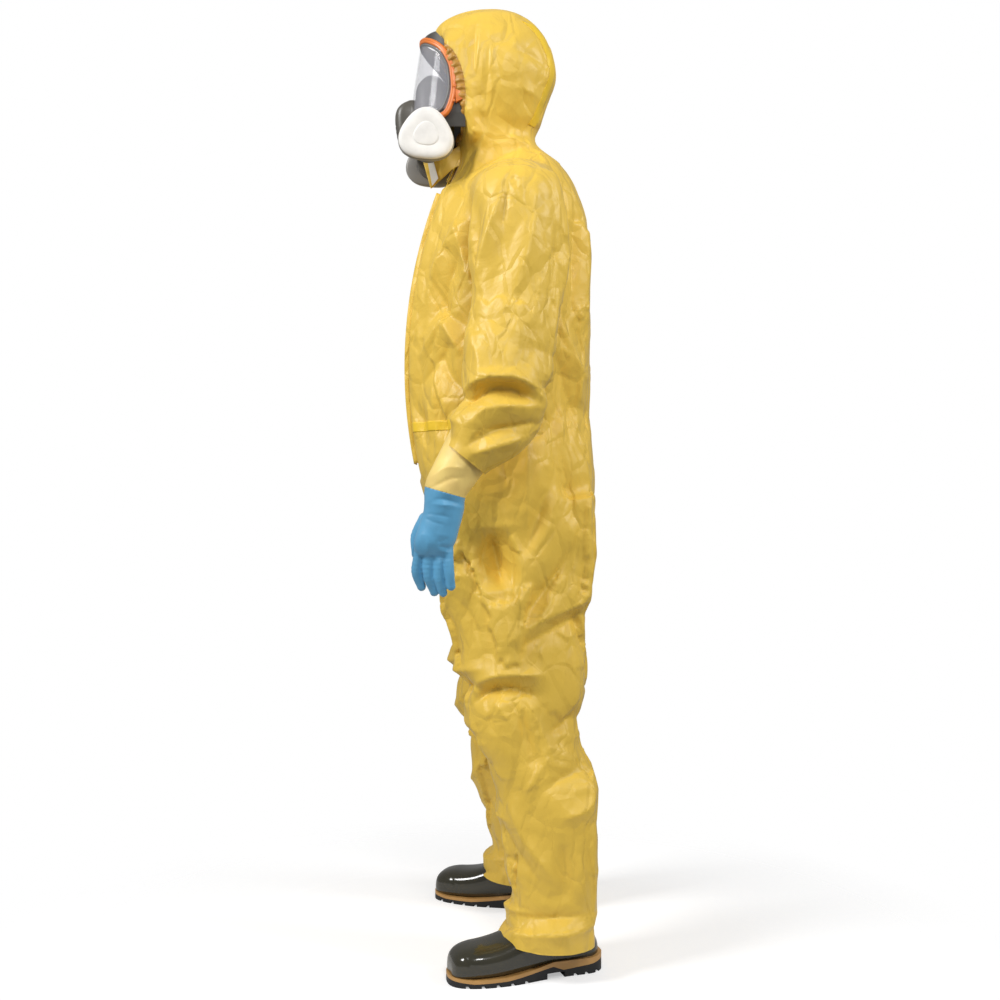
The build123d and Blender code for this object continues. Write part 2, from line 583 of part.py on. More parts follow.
def main():
    os.makedirs("parts", exist_ok=True)
    for name, shape in build().items():
        export_step(shape, f"parts/{name}.step")
    print("shin axes, across and back for each millimetre down:", shaft_lean(1), shaft_lean(-1))


if __name__ == "__main__":
    main()
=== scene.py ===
"""Chemical protective suit: coated coverall, respirator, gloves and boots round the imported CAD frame."""

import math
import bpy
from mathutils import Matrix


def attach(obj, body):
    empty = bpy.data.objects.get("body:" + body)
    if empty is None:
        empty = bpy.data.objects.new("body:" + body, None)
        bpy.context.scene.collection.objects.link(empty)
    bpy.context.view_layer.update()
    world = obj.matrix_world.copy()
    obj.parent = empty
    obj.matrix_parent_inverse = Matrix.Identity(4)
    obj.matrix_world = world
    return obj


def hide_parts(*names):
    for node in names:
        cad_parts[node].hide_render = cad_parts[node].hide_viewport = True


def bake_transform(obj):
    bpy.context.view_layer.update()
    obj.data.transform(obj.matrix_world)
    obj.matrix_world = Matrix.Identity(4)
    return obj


bl_info = {
    "name": "Chemical protective suit",
    "version": (1, 0, 0),
    "blender": (4, 5, 0),
    "location": "View3D > Sidebar > Suit",
    "description": "Builds a hooded coverall with a full-face respirator, gauntlet gloves and rubber boots",
    "category": "Object",
}

import bmesh
import bpy
import numpy as np
from bpy.props import FloatProperty, FloatVectorProperty, PointerProperty
from mathutils import Matrix, Vector, kdtree, noise

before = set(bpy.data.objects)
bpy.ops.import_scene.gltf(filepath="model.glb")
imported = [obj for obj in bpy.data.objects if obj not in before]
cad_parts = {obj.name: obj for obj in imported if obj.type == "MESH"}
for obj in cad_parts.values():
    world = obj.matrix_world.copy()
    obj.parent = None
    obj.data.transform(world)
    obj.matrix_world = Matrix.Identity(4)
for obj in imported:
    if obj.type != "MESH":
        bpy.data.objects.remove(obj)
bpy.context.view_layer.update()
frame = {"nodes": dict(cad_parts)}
SIDES = {"left": 1, "right": -1}
MM = 0.001


# ---------------------------------------------------------------- settings
class CoverallSettings(bpy.types.PropertyGroup):
    cell: FloatProperty(name="Cell", description="Size of the cloth's cells before the last subdivision",
                        default=0.0076, min=0.005, max=0.02, subtype="DISTANCE")
    fold_depth: FloatProperty(name="Fold depth", description="Strength of the modelled folds", default=1.45,
                              min=0, max=2)
    colour: FloatVectorProperty(name="Fabric", description="Colour of the coated fabric", subtype="COLOR",
                                default=(0.80, 0.53, 0.074), min=0, max=1)
    tape: FloatVectorProperty(name="Tape", description="Colour of the welded seam tape", subtype="COLOR",
                              default=(0.86, 0.57, 0.030), min=0, max=1)


class RespiratorSettings(bpy.types.PropertyGroup):
    frame_colour: FloatVectorProperty(name="Frame", description="Colour of the visor frame", subtype="COLOR",
                                      default=(0.75, 0.20, 0.035), min=0, max=1)
    body_colour: FloatVectorProperty(name="Body", description="Colour of the moulded mask", subtype="COLOR",
                                     default=(0.13, 0.12, 0.10), min=0, max=1)


class GloveSettings(bpy.types.PropertyGroup):
    hand: FloatVectorProperty(name="Hand", description="Colour of the dipped hand", subtype="COLOR",
                              default=(0.115, 0.38, 0.62), min=0, max=1)
    gauntlet: FloatVectorProperty(name="Gauntlet", description="Colour of the gauntlet", subtype="COLOR",
                                  default=(0.95, 0.68, 0.21), min=0, max=1)


class BootSettings(bpy.types.PropertyGroup):
    upper: FloatVectorProperty(name="Upper", description="Colour of the boot", subtype="COLOR",
                               default=(0.034, 0.031, 0.018), min=0, max=1)
    rand: FloatVectorProperty(name="Rand", description="Colour of the strip over the sole", subtype="COLOR",
                              default=(0.55, 0.30, 0.095), min=0, max=1)


# ---------------------------------------------------------------- shared helpers
def smoothstep(value, low, high):
    t = np.clip((value - low) / (high - low), 0, 1)
    return t * t * (3 - 2 * t)


def smooth_rows(rows, steps):
    """Rows of numbers with steps between each pair, on a smooth curve through them all."""
    rows = np.array(rows, float)
    padded = np.vstack([2 * rows[0] - rows[1], rows, 2 * rows[-1] - rows[-2]])
    out = []
    for i in range(1, len(padded) - 2):
        a, b, c, d = padded[i - 1: i + 3]
        for t in np.arange(steps) / steps:
            out.append(0.5 * ((2 * b) + (c - a) * t + (2 * a - 5 * b + 4 * c - d) * t**2
                              + (3 * b - a - 3 * c + d) * t**3))
    out.append(rows[-1])
    return np.array(out)


def ring(bm, centre, half_x, half_y, tilt=0.0, segments=40, power=1.0):
    """An ellipse of edges, squarer with a power under 1; tilt leans its normal forward."""
    place = Matrix.Translation(centre) @ Matrix.Rotation(-tilt, 4, "X")
    place = place @ Matrix.Diagonal((half_x, half_y, 1, 1))
    made = bmesh.ops.create_circle(bm, segments=segments, radius=1.0)
    for v in made["verts"]:
        x, y = (math.copysign(abs(a) ** power, a) for a in v.co.xy)
        v.co = place @ Vector((x, y, 0))
    return list({e for v in made["verts"] for e in v.link_edges})


def tube(bm, rings, segments=40, caps=True, power=1.0):
    """A closed tube through rings of (centre, half x, half y, tilt)."""
    loops = [ring(bm, c, hx, hy, tilt, segments, power) for c, hx, hy, tilt in rings]
    for low, high in zip(loops, loops[1:]):
        bmesh.ops.bridge_loops(bm, edges=low + high)
    if caps:
        bmesh.ops.holes_fill(bm, edges=loops[0] + loops[-1], sides=0)


def level_rings(rows, steps=3):
    """Rows of (z, front, back, half x, x), in millimetres, as rings."""
    rings = []
    for z, front, back, half_x, x in smooth_rows(rows, steps):
        rings.append((Vector((x, (front + back) / 2, z)) * MM, half_x * MM, (back - front) / 2 * MM, 0.0))
    return rings


def object_from(bm, name):
    bmesh.ops.recalc_face_normals(bm, faces=bm.faces)
    mesh = bpy.data.meshes.new(name)
    bm.to_mesh(mesh)
    bm.free()
    obj = bpy.data.objects.new(name, mesh)
    bpy.context.scene.collection.objects.link(obj)
    return obj


def apply_modifiers(obj):
    """The object's modifiers made into its mesh."""
    bpy.context.view_layer.update()
    graph = bpy.context.evaluated_depsgraph_get()
    mesh = bpy.data.meshes.new_from_object(obj.evaluated_get(graph))
    obj.modifiers.clear()
    old = obj.data
    obj.data = mesh
    mesh.name = obj.name
    bpy.data.meshes.remove(old)
    return obj


def fuse(obj, cell, smooth=6):
    """Overlapping closed tubes become one skin of even cells."""
    remesh = obj.modifiers.new("cells", "REMESH")
    remesh.mode = "VOXEL"
    remesh.voxel_size = cell
    relax = obj.modifiers.new("relax", "SMOOTH")
    relax.factor = 0.5
    relax.iterations = smooth
    return apply_modifiers(obj)


def points_of(obj):
    co = np.empty(len(obj.data.vertices) * 3)
    obj.data.vertices.foreach_get("co", co)
    return co.reshape(-1, 3)


def normals_of(obj):
    no = np.empty(len(obj.data.vertices) * 3)
    obj.data.vertices.foreach_get("normal", no)
    return no.reshape(-1, 3)


def set_points(obj, co):
    obj.data.vertices.foreach_set("co", co.ravel())
    obj.data.update()


def shade_smooth(obj):
    obj.data.polygons.foreach_set("use_smooth", [True] * len(obj.data.polygons))


def subdivide(obj, levels=1):
    sub = obj.modifiers.new("smooth", "SUBSURF")
    sub.levels = sub.render_levels = levels
    return apply_modifiers(obj)


def give(obj, *materials):
    obj.data.materials.clear()
    for material in materials:
        obj.data.materials.append(material)


# ---------------------------------------------------------------- materials
class Nodes:
    """A short way to write a material's node tree."""

    def __init__(self, name, colour, roughness=0.5, **sockets):
        self.material = bpy.data.materials.new(name)
        self.material.use_nodes = True
        self.tree = self.material.node_tree
        self.shader = self.tree.nodes["Principled BSDF"]
        self.shader.inputs["Base Color"].default_value = (*colour, 1)
        self.shader.inputs["Roughness"].default_value = roughness
        for key, value in sockets.items():
            self.shader.inputs[key.replace("_", " ")].default_value = value
        self.coords = self.add("ShaderNodeTexCoord").outputs["Object"]
        self.last_bump = None

    def add(self, kind, **values):
        node = self.tree.nodes.new(kind)
        for key, value in values.items():
            setattr(node, key, value)
        return node

    def link(self, a, b):
        self.tree.links.new(a, b)

    def noise(self, scale, detail=4.0, stretch=(1, 1, 1), rough=0.5, distortion=0.0):
        mapping = self.add("ShaderNodeMapping")
        mapping.inputs["Scale"].default_value = stretch
        self.link(self.coords, mapping.inputs["Vector"])
        node = self.add("ShaderNodeTexNoise")
        for key, value in (("Scale", scale), ("Detail", detail), ("Roughness", rough),
                           ("Distortion", distortion)):
            node.inputs[key].default_value = value
        self.link(mapping.outputs["Vector"], node.inputs["Vector"])
        return node.outputs["Fac"]

    def cells(self, scale, feature="F1", warp=None):
        node = self.add("ShaderNodeTexVoronoi", feature=feature)
        node.inputs["Scale"].default_value = scale
        self.link(warp or self.coords, node.inputs["Vector"])
        return node.outputs["Distance"]

    def ramp(self, fac, low, high, start=0.3, end=0.7):
        node = self.add("ShaderNodeValToRGB")
        node.color_ramp.elements[0].position = start
        node.color_ramp.elements[0].color = (*low, 1)
        node.color_ramp.elements[1].position = end
        node.color_ramp.elements[1].color = (*high, 1)
        self.link(fac, node.inputs["Fac"])
        return node.outputs["Color"]

    def colour_from(self, fac, low, high, start=0.3, end=0.7):
        self.link(self.ramp(fac, low, high, start, end), self.shader.inputs["Base Color"])

    def roughness_from(self, fac, low, high):
        node = self.add("ShaderNodeMapRange")
        node.inputs["To Min"].default_value = low
        node.inputs["To Max"].default_value = high
        self.link(fac, node.inputs["Value"])
        self.link(node.outputs["Result"], self.shader.inputs["Roughness"])

    def bump(self, height, strength, distance):
        node = self.add("ShaderNodeBump")
        node.inputs["Strength"].default_value = strength
        node.inputs["Distance"].default_value = distance
        self.link(height, node.inputs["Height"])
        if self.last_bump:
            self.link(self.last_bump, node.inputs["Normal"])
        self.last_bump = node.outputs["Normal"]
        self.link(self.last_bump, self.shader.inputs["Normal"])


def shade(colour, factor):
    return tuple(min(1.0, c * factor) for c in colour)


def coated_fabric(name, colour, crinkle=1.0):
    """Film-coated cloth: satin, with broad tone shifts, dents from folding and a fine grain."""
    m = Nodes(name, colour, 0.42, Sheen_Weight=0.08, Sheen_Roughness=0.4, Specular_IOR_Level=0.42)
    m.shader.inputs["Subsurface Weight"].default_value = 0.0
    broad = m.noise(5.5, 5.0, rough=0.6, distortion=0.4)
    m.colour_from(broad, shade(colour, 0.93), shade(colour, 1.05))
    m.roughness_from(m.noise(26, 6.0), 0.34, 0.52)
    m.bump(m.noise(15, 6.0, rough=0.55, distortion=1.0), 0.28 * crinkle, 0.010)
    for scale, height, shift in ((8.5, 0.0026, 0.0), (19, 0.0012, 3.3)):
        warp = m.add("ShaderNodeMapping")
        warp.inputs["Scale"].default_value = (1, 1, 0.6)
        warp.inputs["Location"].default_value = (shift, shift, 0)
        warp.inputs["Rotation"].default_value = (0.5, 0.2, 0)
        m.link(m.coords, warp.inputs["Vector"])
        stray, bend = m.add("ShaderNodeTexNoise"), m.add("ShaderNodeVectorMath", operation="MULTIPLY_ADD")
        stray.inputs["Scale"].default_value = 11
        bend.inputs[1].default_value = (0.05, 0.05, 0.05)
        m.link(stray.outputs["Color"], bend.inputs[0])
        m.link(m.coords, stray.inputs["Vector"])
        m.link(warp.outputs["Vector"], bend.inputs[2])
        ramp = m.add("ShaderNodeMapRange")
        ramp.inputs["From Max"].default_value = 0.12
        m.link(m.cells(scale, "DISTANCE_TO_EDGE", bend.outputs["Vector"]), ramp.inputs["Value"])
        m.bump(ramp.outputs["Result"], crinkle, height)
    m.bump(m.noise(900, 2.0), 0.10, 0.0004)
    return m.material


def moulded(name, colour, roughness=0.4, grain=420, depth=0.12, **sockets):
    """Moulded plastic or rubber with a fine grain and soft wear."""
    m = Nodes(name, colour, roughness, **sockets)
    m.colour_from(m.noise(24, 5.0), shade(colour, 0.88), shade(colour, 1.1))
    m.roughness_from(m.noise(60, 6.0), roughness * 0.82, min(1.0, roughness * 1.22))
    m.bump(m.noise(grain, 3.0), depth, 0.0006)
    return m.material


# ---------------------------------------------------------------- coverall
# rings: height, front, back, half width and centre across, in millimetres
TRUNK = [(1568, -74, 92, 70, 0), (1545, -80, 116, 90, 0), (1520, -90, 140, 112, 0), (1489, -102, 160, 138, 0),
         (1440, -121, 179, 162, 0), (1390, -140, 190, 174, 0), (1330, -155, 194, 177, 0),
         (1240, -168, 196, 176, 0),
         (1150, -174, 193, 175, 0), (1080, -174, 189, 176, 0), (1036, -170, 182, 178, 0),
         (1000, -170, 190, 184, 0),
         (940, -166, 202, 190, 0), (880, -152, 206, 192, 0), (830, -132, 205, 188, 0), (797, -118, 202, 180, 0)]
HOOD = [(1552, -80, 100, 84, 0), (1588, -84, 78, 82, 0), (1612, -88, 90, 90, 0), (1645, -96, 100, 98, 0),
        (1680, -104, 112, 105, 0), (1709, -110, 120, 109, 0), (1748, -118, 113, 106, 0),
        (1782, -126, 102, 97, 0),
        (1802, -127, 90, 86, 0), (1821, -112, 74, 72, 0), (1838, -80, 50, 52, 0), (1849, -44, 26, 26, 0)]
# shoulders, across: x, centre y, centre z, half depth, half height
YOKE = [(40, 18, 1462, 96, 90), (95, 28, 1456, 94, 77), (150, 34, 1448, 90, 66), (205, 38, 1436, 87, 60),
        (250, 38, 1424, 78, 52), (286, 38, 1412, 52, 32)]
SLEEVE = [(1462, -30, 108, 46, 232), (1440, -41, 118, 56, 239), (1400, -46, 128, 61, 248),
          (1350, -46, 134, 62, 256),
          (1310, -46, 136, 62, 261), (1260, -47, 130, 63, 266), (1221, -50, 124, 64, 270),
          (1180, -54, 116, 66, 274),
          (1140, -59, 108, 68, 280), (1106, -62, 102, 70, 285), (1086, -65, 96, 72, 289),
          (1074, -63, 90, 71, 291),
          (1067, -48, 74, 58, 291)]
# forearm: x, y, z, half width, half depth, tilt in degrees
FOREARM = [(287, 16, 1092, 58, 56, 6), (288, 18, 1072, 66, 70, 14), (291, 12, 1042, 67, 81, 25),
           (295, -4, 1011, 65, 78, 33), (299, -24, 983, 61, 68, 38), (303, -41, 961, 56, 55, 39),
           (306, -57, 943, 52, 47, 39), (309, -68, 929, 52, 47, 39)]
CUFF = Vector((306, -57, 943)) * MM
CUFF_WAY = Vector((0, -math.sin(math.radians(39)), -math.cos(math.radians(39))))
LEG = [(880, -120, 203, 82, 101), (800, -114, 204, 86, 102), (747, -108, 201, 88, 105),
       (704, -104, 192, 88, 108),
       (676, -102, 180, 87, 110), (650, -93, 167, 86, 112), (606, -80, 163, 85, 116), (575, -76, 171, 83, 120),
       (540, -66, 172, 81, 125), (493, -58, 166, 80, 132), (455, -52, 157, 79, 138), (418, -43, 153, 78, 144),
       (380, -26, 168, 78, 149), (342, -11, 190, 79, 154), (305, 0, 196, 79, 158), (250, 12, 199, 78, 165),
       (201, 21, 200, 77, 171), (160, 31, 199, 77, 176), (127, 37, 197, 78, 181), (100, 24, 192, 81, 185),
       (75, 8, 188, 85, 188), (40, 4, 187, 87, 190)]
STRIDE = -44.0
HEM = Vector((0, 100, 58)) * MM
HEM_WAY = Vector((0, -0.07, -1)).normalized()
# where the limbs' pieces meet and where each bend begins and ends, as heights in metres
SLEEVE_TOP, SHOULDER_BEND = 1.330, (1.330, 1.215)
SLEEVE_SPLIT, ELBOW_BEND = 1.190, (1.160, 1.055)
LEG_TOP, HIP_BEND = 0.785, (0.785, 0.660)
LEG_SPLIT, KNEE_BEND = 0.640, (0.590, 0.440)
NECK, NECK_BEND = 1.545, (1.545, 1.600)
# the face opening seen from the side, chin to brow, as (y, z)
# visor: height, front, back, half width
VISOR_ROWS = [(1592, -172, 12, 84), (1620, -172, 14, 87), (1680, -166, 10, 88), (1740, -157, 2, 85),
              (1792, -149, -8, 76)]
FACE_EDGE = [(-72, 1586), (-67, 1598), (-66, 1620), (-66, 1650), (-69, 1680), (-76, 1708), (-90, 1736),
             (-109, 1762),
             (-127, 1788)]
ZIP_CENTRE, ZIP_RADIUS = (0.786, 1.130), 0.960


def zip_front(z):
    return ZIP_CENTRE[0] - np.sqrt(ZIP_RADIUS**2 - np.clip(np.abs(z - ZIP_CENTRE[1]), 0, 0.9) ** 2)


def stepped(rows, side):
    """A leg's rows on one side, each moved with its foot."""
    out = []
    for z, front, back, half_x, x in rows:
        step = STRIDE * min(1.0, max(0.0, (840 - z) / 680)) if side < 0 else 0.0
        out.append((z, front + step, back + step, half_x, side * x))
    return out


def shoulder_tube(bm, side):
    loops = []
    for x, y, z, half_y, half_z in smooth_rows(YOKE, 2):
        place = Matrix.Translation(Vector((side * x, y, z)) * MM) @ Matrix.Rotation(math.pi / 2, 4, "Y")
        place = place @ Matrix.Diagonal((half_z * MM, half_y * MM, 1, 1))
        made = bmesh.ops.create_circle(bm, segments=32, radius=1.0, matrix=place)
        loops.append(list({e for v in made["verts"] for e in v.link_edges}))
    for low, high in zip(loops, loops[1:]):
        bmesh.ops.bridge_loops(bm, edges=low + high)
    bmesh.ops.holes_fill(bm, edges=loops[0] + loops[-1], sides=0)


def body_skin(cell):
    """Hood, trunk, sleeves and legs as one closed skin."""
    bm = bmesh.new()
    tube(bm, level_rings(TRUNK))
    tube(bm, level_rings(HOOD))
    for side in SIDES.values():
        shoulder_tube(bm, side)
        tube(bm, level_rings([(z, f, b, w, side * x) for z, f, b, w, x in SLEEVE], 2))
        forearm = []
        for x, y, z, half_x, half_y, tilt in smooth_rows(FOREARM, 3):
            forearm.append((Vector((side * x, y, z)) * MM, half_x * MM, half_y * MM, math.radians(tilt)))
        tube(bm, forearm)
        tube(bm, level_rings(stepped(LEG, side), 2))
    return fuse(object_from(bm, "coverall_body"), cell)


# folds: height of the ridge (or depth, below 0) and half width in millimetres, sharpness, then (y, z) points
SIDE_FOLDS = [
    # hood
    (-9, 13, 1, [(-40, 1800), (-44, 1775), (-52, 1715), (-56, 1655)]),
    (5, 9, 1, [(-28, 1790), (-36, 1730), (-40, 1680)]),
    (2.5, 5, 1, [(-11, 1800), (-11, 1590)]), (-4, 9, 1, [(-52, 1652), (-25, 1645)]),
    (4, 9, 1, [(-52, 1630), (-24, 1622)]),
    (-4, 8, 1, [(-54, 1606), (-20, 1612)]), (6, 12, 1, [(-14, 1590), (-34, 1545), (-50, 1490)]),
    (-7, 11, 1, [(-58, 1500), (-20, 1528), (22, 1545), (50, 1556)]),
    (5, 10, 1, [(20, 1580), (45, 1565), (70, 1560)]),
    (-4, 9, 1, [(30, 1740), (70, 1730), (104, 1712)]), (3, 9, 1, [(30, 1668), (66, 1660), (90, 1650)]),
    # shoulder and upper sleeve
    (9, 14, 1, [(-79, 1404), (-64, 1330), (-42, 1257)]), (-7, 13, 1, [(-43, 1403), (-46, 1335), (-47, 1274)]),
    (7, 12, 1, [(15, 1425), (-18, 1330), (-41, 1249)]), (-8, 12, 1, [(19, 1437), (14, 1400), (9, 1352)]),
    (-5, 26, 0, [(47, 1396), (6, 1285), (-17, 1188)]), (6, 20, 1, [(70, 1420), (60, 1330), (30, 1225)]),
    (-6, 15, 1, [(100, 1420), (112, 1350), (108, 1280), (96, 1200)]),
    (4, 12, 1, [(-20, 1190), (10, 1120), (30, 1082)]),
    (10, 9, 1, [(-66, 1052), (-28, 1076), (30, 1078), (64, 1066), (88, 1040)]),
    (-15, 12, 1, [(-58, 1036), (-20, 1058), (32, 1060), (60, 1044)]),
    (8, 10, 1, [(40, 1076), (70, 1050), (92, 1030)]),
    (-4, 14, 1, [(70, 1180), (56, 1120), (50, 1084)]), (5, 12, 1, [(-45, 1160), (-30, 1110), (-34, 1078)]),
    # forearm: pleats from the cuff to the elbow
    (6, 11, 1, [(-60, 985), (-20, 1024), (40, 1030), (92, 1030)]),
    (-11, 13, 1, [(-50, 962), (-10, 985), (36, 994), (80, 1003)]),
    (7, 9, 1, [(-42, 948), (0, 962), (50, 982)]), (-5, 12, 1, [(-10, 1060), (30, 1052), (70, 1048)]),
    (5, 10, 1, [(-88, 980), (-70, 1010), (-58, 1050)]),
    # chest and waist
    (-9, 15, 1, [(-130, 1305), (-104, 1234), (-54, 1190)]),
    (8, 14, 1, [(-106, 1220), (-86, 1180), (-65, 1140)]),
    (-6, 14, 1, [(-112, 1150), (-88, 1100), (-60, 1075)]),
    (6, 12, 1, [(-120, 1100), (-118, 1060), (-112, 1022)]),
    (-12, 22, 1, [(150, 1430), (158, 1360), (156, 1290), (146, 1220)]),
    (7, 14, 1, [(178, 1400), (180, 1300), (170, 1180)]),
    (7, 13, 1, [(120, 1210), (150, 1130), (160, 1050)]), (-6, 13, 1, [(110, 1150), (130, 1090), (152, 1030)]),
    # waist gathers
    (4, 6, 1, [(-150, 1040), (-150, 985)]), (-4, 6, 1, [(-132, 1042), (-134, 980)]),
    (4, 6, 1, [(-112, 1040), (-116, 975)]),
    (-4, 6, 1, [(-94, 1040), (-98, 985)]), (4, 6, 1, [(148, 1045), (152, 990)]),
    (-5, 7, 1, [(134, 1045), (138, 985)]),
    (5, 7, 1, [(120, 1045), (122, 980)]), (-4, 6, 1, [(104, 1040), (106, 990)]),
    (-6, 7, 1, [(172, 1050), (176, 1020), (170, 990)]),
    # hip and thigh
    (-20, 46, 0, [(-8, 820), (-4, 770), (8, 700)]), (-16, 19, 1, [(-14, 806), (-8, 765), (8, 710)]),
    (12, 17, 1, [(-1, 869), (22, 808), (49, 747), (44, 690), (39, 645)]),
    (-9, 14, 1, [(98, 891), (76, 830), (54, 769)]), (4, 6, 1, [(56, 980), (56, 806)]),
    (-11, 17, 1, [(148, 789), (124, 745), (95, 708), (54, 655), (36, 640)]),
    (9, 16, 1, [(187, 762), (170, 694), (134, 668), (97, 653), (40, 618), (4, 593)]),
    (-10, 15, 1, [(176, 655), (130, 640), (90, 622), (30, 590)]),
    (6, 13, 1, [(-96, 800), (-70, 740), (-60, 690)]),
    (-5, 12, 1, [(-80, 690), (-50, 650), (-30, 600)]), (7, 16, 1, [(160, 960), (172, 900), (170, 840)]),
    (-6, 14, 1, [(120, 960), (140, 890), (146, 820)]), (-5, 15, 1, [(10, 960), (16, 910), (8, 870)]),
    # knee and shin
    (12, 15, 1, [(-56, 512), (-28, 532), (4, 545), (46, 547), (88, 544)]),
    (-16, 15, 1, [(-50, 488), (-20, 515), (22, 524), (70, 510)]),
    (6, 12, 1, [(-1, 499), (14, 478), (32, 450)]), (7, 12, 1, [(61, 494), (84, 440), (105, 388)]),
    (-7, 14, 1, [(30, 500), (56, 440), (70, 380)]), (-9, 17, 1, [(156, 480), (130, 452), (96, 440)]),
    (7, 13, 1, [(19, 322), (36, 286), (55, 247), (103, 186)]), (-6, 14, 1, [(0, 290), (24, 240), (70, 185)]),
    (6, 12, 1, [(149, 230), (158, 141)]), (-6, 12, 1, [(120, 250), (130, 160)]),
    (8, 16, 1, [(190, 350), (170, 310), (120, 290)]),
    (-7, 14, 1, [(180, 400), (140, 370), (90, 350)]), (9, 11, 1, [(13, 84), (98, 90), (182, 96)]),
    (-8, 10, 1, [(20, 112), (98, 120), (186, 118)]), (-5, 12, 1, [(60, 60), (62, 110)]),
    (4, 9, 1, [(130, 60), (126, 110)]),
]
# the same from the front, as (x, z), and from the back
FRONT_FOLDS = [
    (7, 14, 1, [(150, 1400), (110, 1340), (80, 1250)]), (-8, 15, 1, [(168, 1370), (130, 1290), (96, 1200)]),
    (6, 13, 1, [(150, 1240), (110, 1180), (70, 1140)]), (-6, 14, 1, [(155, 1170), (115, 1120), (80, 1090)]),
    (5, 8, 1, [(60, 1050), (66, 990)]), (-5, 8, 1, [(84, 1050), (88, 985)]),
    (5, 8, 1, [(108, 1050), (110, 985)]),
    (-5, 8, 1, [(132, 1050), (134, 990)]), (-9, 16, 1, [(150, 905), (100, 850), (40, 812)]),
    (8, 15, 1, [(160, 860), (110, 812), (50, 775)]),
    (-8, 15, 1, [(150, 800), (110, 745), (60, 710)]), (8, 14, 1, [(180, 760), (140, 690), (110, 640)]),
    (10, 15, 1, [(60, 560), (120, 548), (190, 556)]), (-12, 15, 1, [(64, 530), (122, 515), (196, 528)]),
    (7, 13, 1, [(80, 490), (130, 452), (190, 440)]), (-7, 14, 1, [(90, 430), (140, 390), (200, 380)]),
    (7, 13, 1, [(110, 330), (160, 290), (220, 280)]), (-7, 13, 1, [(120, 260), (170, 215), (230, 205)]),
    (9, 12, 1, [(120, 125), (180, 112), (250, 122)]), (-9, 11, 1, [(120, 100), (180, 88), (250, 96)]),
    (5, 12, 1, [(230, 1400), (250, 1330), (245, 1250)]), (-6, 12, 1, [(280, 1390), (275, 1300), (285, 1220)]),
    (-8, 12, 1, [(245, 1040), (300, 1050), (345, 1040)]), (6, 12, 1, [(250, 1010), (300, 1015), (350, 1000)]),
]
BACK_FOLDS = [
    (-9, 18, 1, [(150, 1460), (120, 1380), (110, 1290)]), (8, 16, 1, [(90, 1500), (70, 1400), (60, 1300)]),
    (7, 15, 1, [(20, 1480), (14, 1380), (24, 1280)]), (-7, 15, 1, [(150, 1240), (90, 1180), (30, 1150)]),
    (7, 14, 1, [(160, 1180), (100, 1120), (40, 1095)]), (5, 8, 1, [(20, 1050), (22, 985)]),
    (-5, 8, 1, [(44, 1050), (46, 985)]),
    (5, 8, 1, [(70, 1050), (72, 985)]), (-5, 8, 1, [(96, 1050), (98, 985)]),
    (5, 8, 1, [(120, 1050), (124, 985)]),
    (-10, 18, 1, [(160, 900), (100, 830), (40, 800)]), (9, 16, 1, [(170, 820), (110, 750), (60, 720)]),
    (-9, 16, 1, [(170, 740), (120, 690), (60, 670)]), (-11, 17, 1, [(70, 470), (120, 455), (190, 468)]),
    (9, 15, 1, [(70, 440), (130, 425), (200, 436)]), (8, 14, 1, [(90, 360), (150, 330), (220, 340)]),
    (-8, 14, 1, [(100, 300), (160, 270), (230, 280)]), (7, 13, 1, [(120, 230), (170, 190), (240, 190)]),
    (9, 12, 1, [(120, 115), (180, 108), (250, 116)]), (-9, 11, 1, [(120, 90), (180, 82), (250, 92)]),
    (-8, 13, 1, [(240, 1130), (290, 1120), (340, 1132)]), (8, 13, 1, [(240, 1090), (290, 1080), (345, 1092)]),
    (6, 13, 1, [(240, 1380), (262, 1310), (255, 1230)]), (-6, 13, 1, [(295, 1360), (290, 1280), (300, 1190)]),
]


def press_folds(co, no, folds, across, facing, outward, shift=(0.0, 0.0), gain=1.0):
    """Ridges and valleys along lines drawn on one side of the suit; across is the axis drawn to the right."""
    seen_all = smoothstep(no[:, facing] * outward, 0.05, 0.55) * (1 - 0.8 * smoothstep(-no[:, 2], 0.35, 0.75))
    for height, width, sharp, points in folds:
        line = smooth_rows(np.array(points, float) + shift, 3) * MM
        flat = co[:, [across, 2]]
        reach = 3 * width * MM
        near = (flat > line.min(0) - reach).all(1) & (flat < line.max(0) + reach).all(1) & (seen_all > 0)
        flat, seen = flat[near], seen_all[near]
        best = np.full(len(flat), 1e9)
        place = np.zeros(len(flat))
        lengths = np.concatenate([[0], np.cumsum(np.linalg.norm(np.diff(line, axis=0), axis=1))])
        for i, (a, b) in enumerate(zip(line, line[1:])):
            ab = b - a
            t = np.clip(((flat - a) @ ab) / (ab @ ab), 0, 1)
            gap = np.linalg.norm(flat - a - t[:, None] * ab, axis=1)
            closer = gap < best
            best[closer] = gap[closer]
            place[closer] = (lengths[i] + t * (lengths[i + 1] - lengths[i]))[closer] / lengths[-1]
        fade = np.sqrt(np.clip(np.sin(np.pi * np.clip(place, 0.02, 0.98)), 0, 1))
        half = width * MM
        if sharp:
            shape = np.exp(-best / half * 1.15) * smoothstep(-best, -2.6 * half, -1.2 * half)
        else:
            shape = np.exp(-(best / half) ** 2)
        co[near] += no[near] * (height * MM * gain * shape * fade * seen)[:, None]


def crumple(co, no, size, depth, stretch=(1, 1, 1), seed=0.0, ridge=True):
    """Soft irregular dents, or creases with a sharp edge, over the whole skin."""
    scaled = co / size * np.array(stretch) + seed
    value = np.array([noise.noise(Vector(p)) for p in scaled])
    value = 0.5 - 2.2 * np.abs(value) if ridge else value
    co += no * (value * depth)[:, None]


